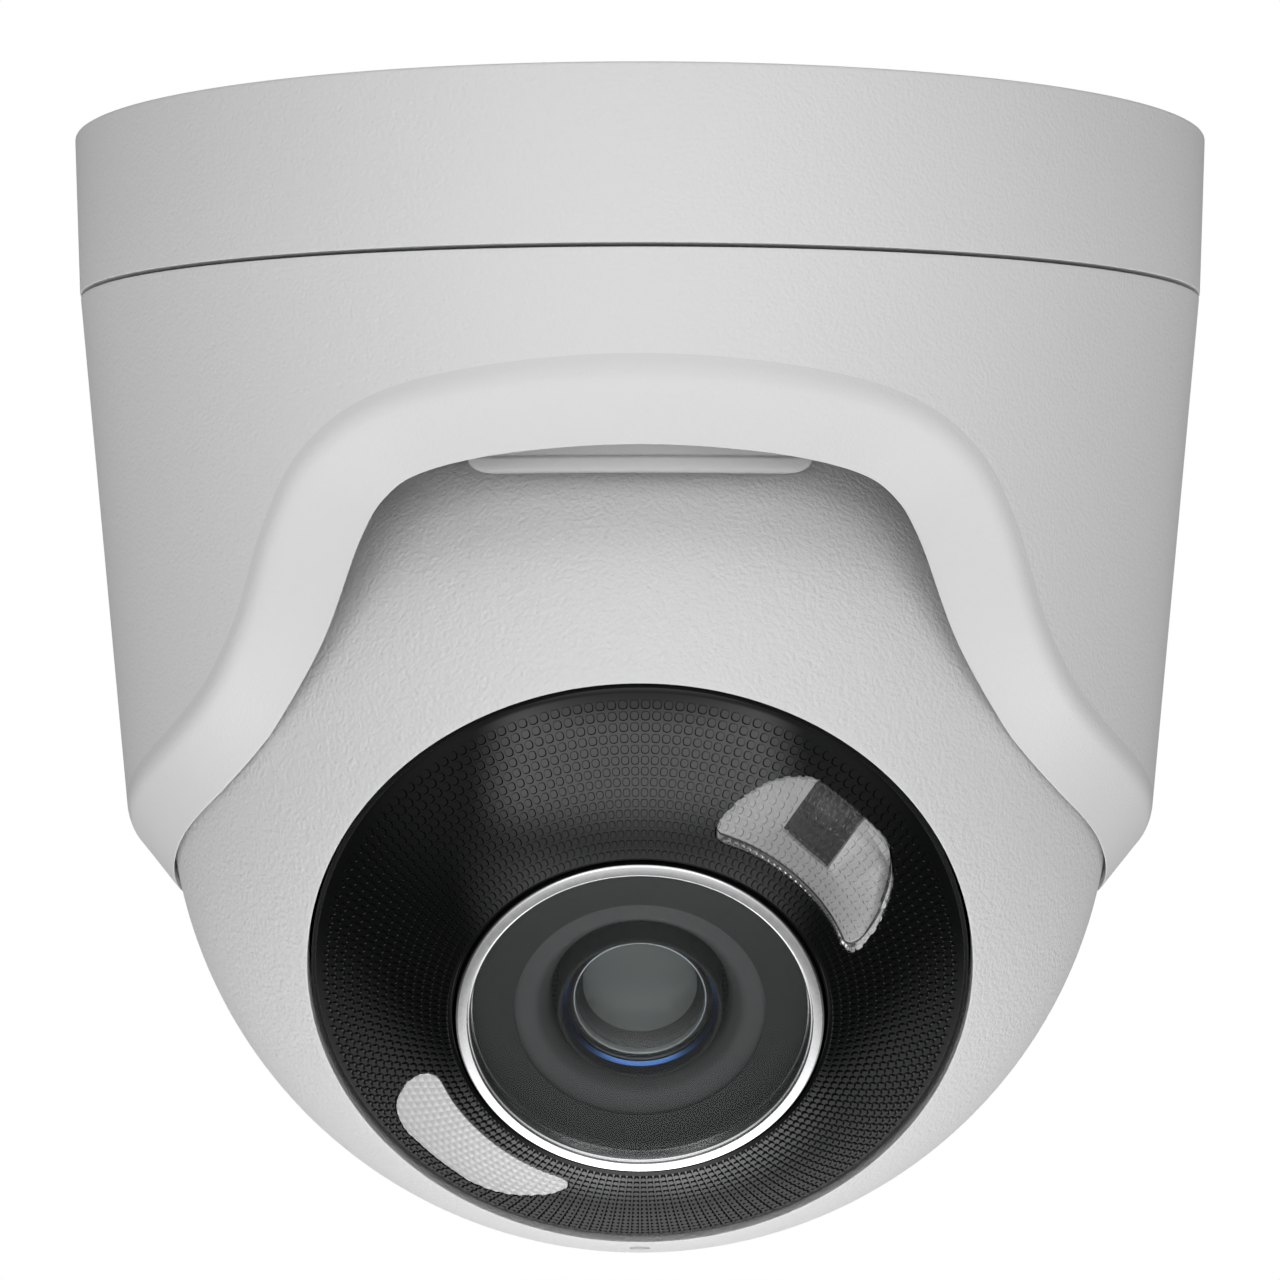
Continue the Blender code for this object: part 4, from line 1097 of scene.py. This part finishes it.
def lens_retainer():
    """Thin bright-edged ring between the two elements."""
    outline = [
        (5.76, 38.40, 0.04), (5.84, 38.62, 0.03), (5.94, 38.62, 0.03), (6.1, 38.35), (6.0, 38.05),
        (5.76, 38.05),
    ]
    return lathe("retainer", outline, LENS, 128)


def outer_element():
    """Clear front lens that sits in the barrel's mouth."""
    outline = [(0, 40.0), (3.0, 39.9), (5.4, 39.5), (6.2, 39.25), (6.2, 38.8), (0, 39.1)]
    return lathe("outer_element", outline, LENS, 128)


def coated_bevel():
    """Conical seat round the front lens, where its blue coating shows."""
    outline = [(6.55, 38.92), (6.92, 39.16, 0.03), (6.92, 38.6), (6.55, 38.6)]
    return lathe("coated_bevel", outline, LENS, 128)


def lens_element(name, radius, low, high, crown, steps=10):
    """A round lens, domed on both sides."""
    front = [(radius * i / steps, high + crown * (1 - (i / steps) ** 2)) for i in range(steps + 1)]
    back = [(r, low - 0.6 * (z - high)) for r, z in reversed(front)]
    return lathe(name, front + back, LENS, 96)


def build_lens():
    dress(lens_trim_ring(), "ball", "chrome", "lens_trim_ring")
    dress(lens_window(), "ball", "window_glass", "lens_window")
    dress(window_mask(), "ball", "mask_paint")
    dress(light_shield(), "ball", "shield_rubber", "light_shield")
    dress(lens_barrel(), "ball", "barrel_plastic", "lens_barrel")
    dress(lens_retainer(), "ball", "aluminium", "lens_retainer")
    dress(outer_element(), "ball", "outer_lens")
    dress(coated_bevel(), "ball", "blue_coat")
    dress(lens_element("front_element", 5.15, 34.2, 36.2, 0.5), "ball", "inner_lens", "front_lens")
    dress(lens_element("middle_element", 4.8, 28.0, 30.6, 0.8), "ball", "lens_glass", "middle_lens")
    dress(lens_element("rear_element", 3.9, 23.6, 25.4, 0.6), "ball", "lens_glass", "rear_lens")


# ------------ pieces kept from the frame

KEPT = {
    "circuit_board": ["network_board", "sensor_board", "main_board"],
    "light_board": ["upper_led_board", "lower_led_board"],
    "aluminium": ["network_jack", "heat_spreader"],
    "cable": ["service_loop"],
    "dark_plastic": [
        "retaining_ring", "friction_liner", "lens_holder", "chassis", "filter_arm", "filter_frame",
    ],
    "steel": ["skirt_screw_1", "skirt_screw_2", "skirt_screw_3", "card_socket", "microphone", "filter_motor"],
    "rubber": ["ball_seal"],
    "chip": ["image_sensor", "processor", "memory_card"],
    "pad": ["thermal_pad"],
    "gold_film": ["ribbon_cable"],
    "window_glass": ["infrared_cut_glass"],
}


def dress_kept_nodes():
    for look, nodes in KEPT.items():
        for node in nodes:
            obj = frame["nodes"][node]
            obj.data.materials.clear()
            obj.data.materials.append(LOOKS[look])


# ------------ stage


def white_for_camera(tree, other):
    """Shows plain white to the camera and leaves the other shader for light that bounces."""
    seen = add_node(tree, "ShaderNodeLightPath").outputs["Is Camera Ray"]
    glow = add_node(tree, "ShaderNodeEmission", {"Strength": 1.0}).outputs[0]
    return blended(tree, seen, other, glow)


def floor():
    """Plain pale floor below the camera."""
    bm = bmesh.new()
    bmesh.ops.create_grid(bm, x_segments=8, y_segments=8, size=3000)
    made = finish_mesh(bm, "floor", Matrix.Translation((0, 0, -420)))
    look = bpy.data.materials.new("floor")
    look.use_nodes = True
    tree = look.node_tree
    shader = tree.nodes["Principled BSDF"]
    feed(tree, shader, {"Base Color": (0.85, 0.85, 0.85, 1), "Roughness": 0.8})
    feed(tree, tree.nodes["Material Output"], {"Surface": white_for_camera(tree, shader.outputs[0])})
    made.data.materials.append(look)
    # The studio's light from below stands for what the floor would return
    made.visible_diffuse = False
    made.visible_glossy = False
    made.visible_transmission = False
    made.visible_shadow = False


# Soft boxes of the studio, each the same on both sides: azimuth from the front and elevation of the
# middle, half width and half height, the width of its faded edge, all in degrees, then the strength
AMBIENT = 0.05
SOFT_BOXES = {
    "front": (0, 6, 34, 13, 7, 2.05),
    "front_wide": (0, 8, 62, 20, 16, 0.22),
    "front_high": (0, 45, 40, 12, 14, 1.4),
    "front_low": (0, -29, 35, 13, 14, 1.65),
    "rear_sides": (130, 5, 20, 30, 16, 0.65),
    "above": (0, 85, 180, 20, 16, 0.5),
    "rear_low": (150, -55, 60, 18, 16, 0.5),
    "below": (0, -85, 180, 14, 16, 4.7),
}


def fade(tree, angle, middle, half, edge):
    """1 near the middle, falling to 0 across an edge on each side of half."""
    values = {
        "Value": maths(tree, "ABSOLUTE", maths(tree, "SUBTRACT", angle, math.radians(middle))),
        "From Min": math.radians(half + edge),
        "From Max": math.radians(max(0, half - edge)),
    }
    return add_node(tree, "ShaderNodeMapRange", values, interpolation_type="SMOOTHSTEP").outputs[0]


def world(ambient, boxes):
    """Studio light as a function of direction: a dim surround and soft boxes."""
    made = bpy.data.worlds.new("studio")
    bpy.context.scene.world = made
    made.use_nodes = True
    tree = made.node_tree
    direction = add_node(tree, "ShaderNodeTexCoord").outputs["Generated"]
    parts = add_node(tree, "ShaderNodeSeparateXYZ", {0: direction})
    elevation = maths(tree, "ARCSINE", parts.outputs["Z"])
    forward = maths(tree, "MULTIPLY", parts.outputs["Y"], -1.0)
    azimuth = maths(tree, "ARCTAN2", maths(tree, "ABSOLUTE", parts.outputs["X"]), forward)
    total = maths(tree, "ADD", ambient, 0.0)
    for side, height, half_width, half_height, edge, strength in boxes.values():
        across = fade(tree, azimuth, side, half_width, edge)
        box = maths(tree, "MULTIPLY", across, fade(tree, elevation, height, half_height, edge))
        total = maths(tree, "MULTIPLY_ADD", box, strength, total)
    background = tree.nodes["Background"]
    feed(tree, background, {"Strength": total, "Color": (1, 1, 1, 1)})
    feed(tree, tree.nodes["World Output"], {"Surface": white_for_camera(tree, background.outputs[0])})


def camera():
    """Level camera in front of the object."""
    data = bpy.data.cameras.new("camera")
    data.lens = 102.4
    data.sensor_width = 36
    data.clip_start = 0.01
    obj = bpy.data.objects.new("camera", data)
    obj.location = (0, -0.35925, -0.0484)
    obj.rotation_euler = (math.radians(90), 0, 0)
    bpy.context.scene.collection.objects.link(obj)
    bpy.context.scene.camera = obj


# ------------ build

for look_name, (make, *values) in RECIPES.items():
    LOOKS[look_name] = make(look_name, *values)
build_base()
build_turret()
build_ball_shells()
build_face()
build_lights()
build_lens()
dress_kept_nodes()
floor()
world(AMBIENT, SOFT_BOXES)
camera()
bpy.context.scene.view_settings.view_transform = "Standard"

bpy.context.view_layer.update()
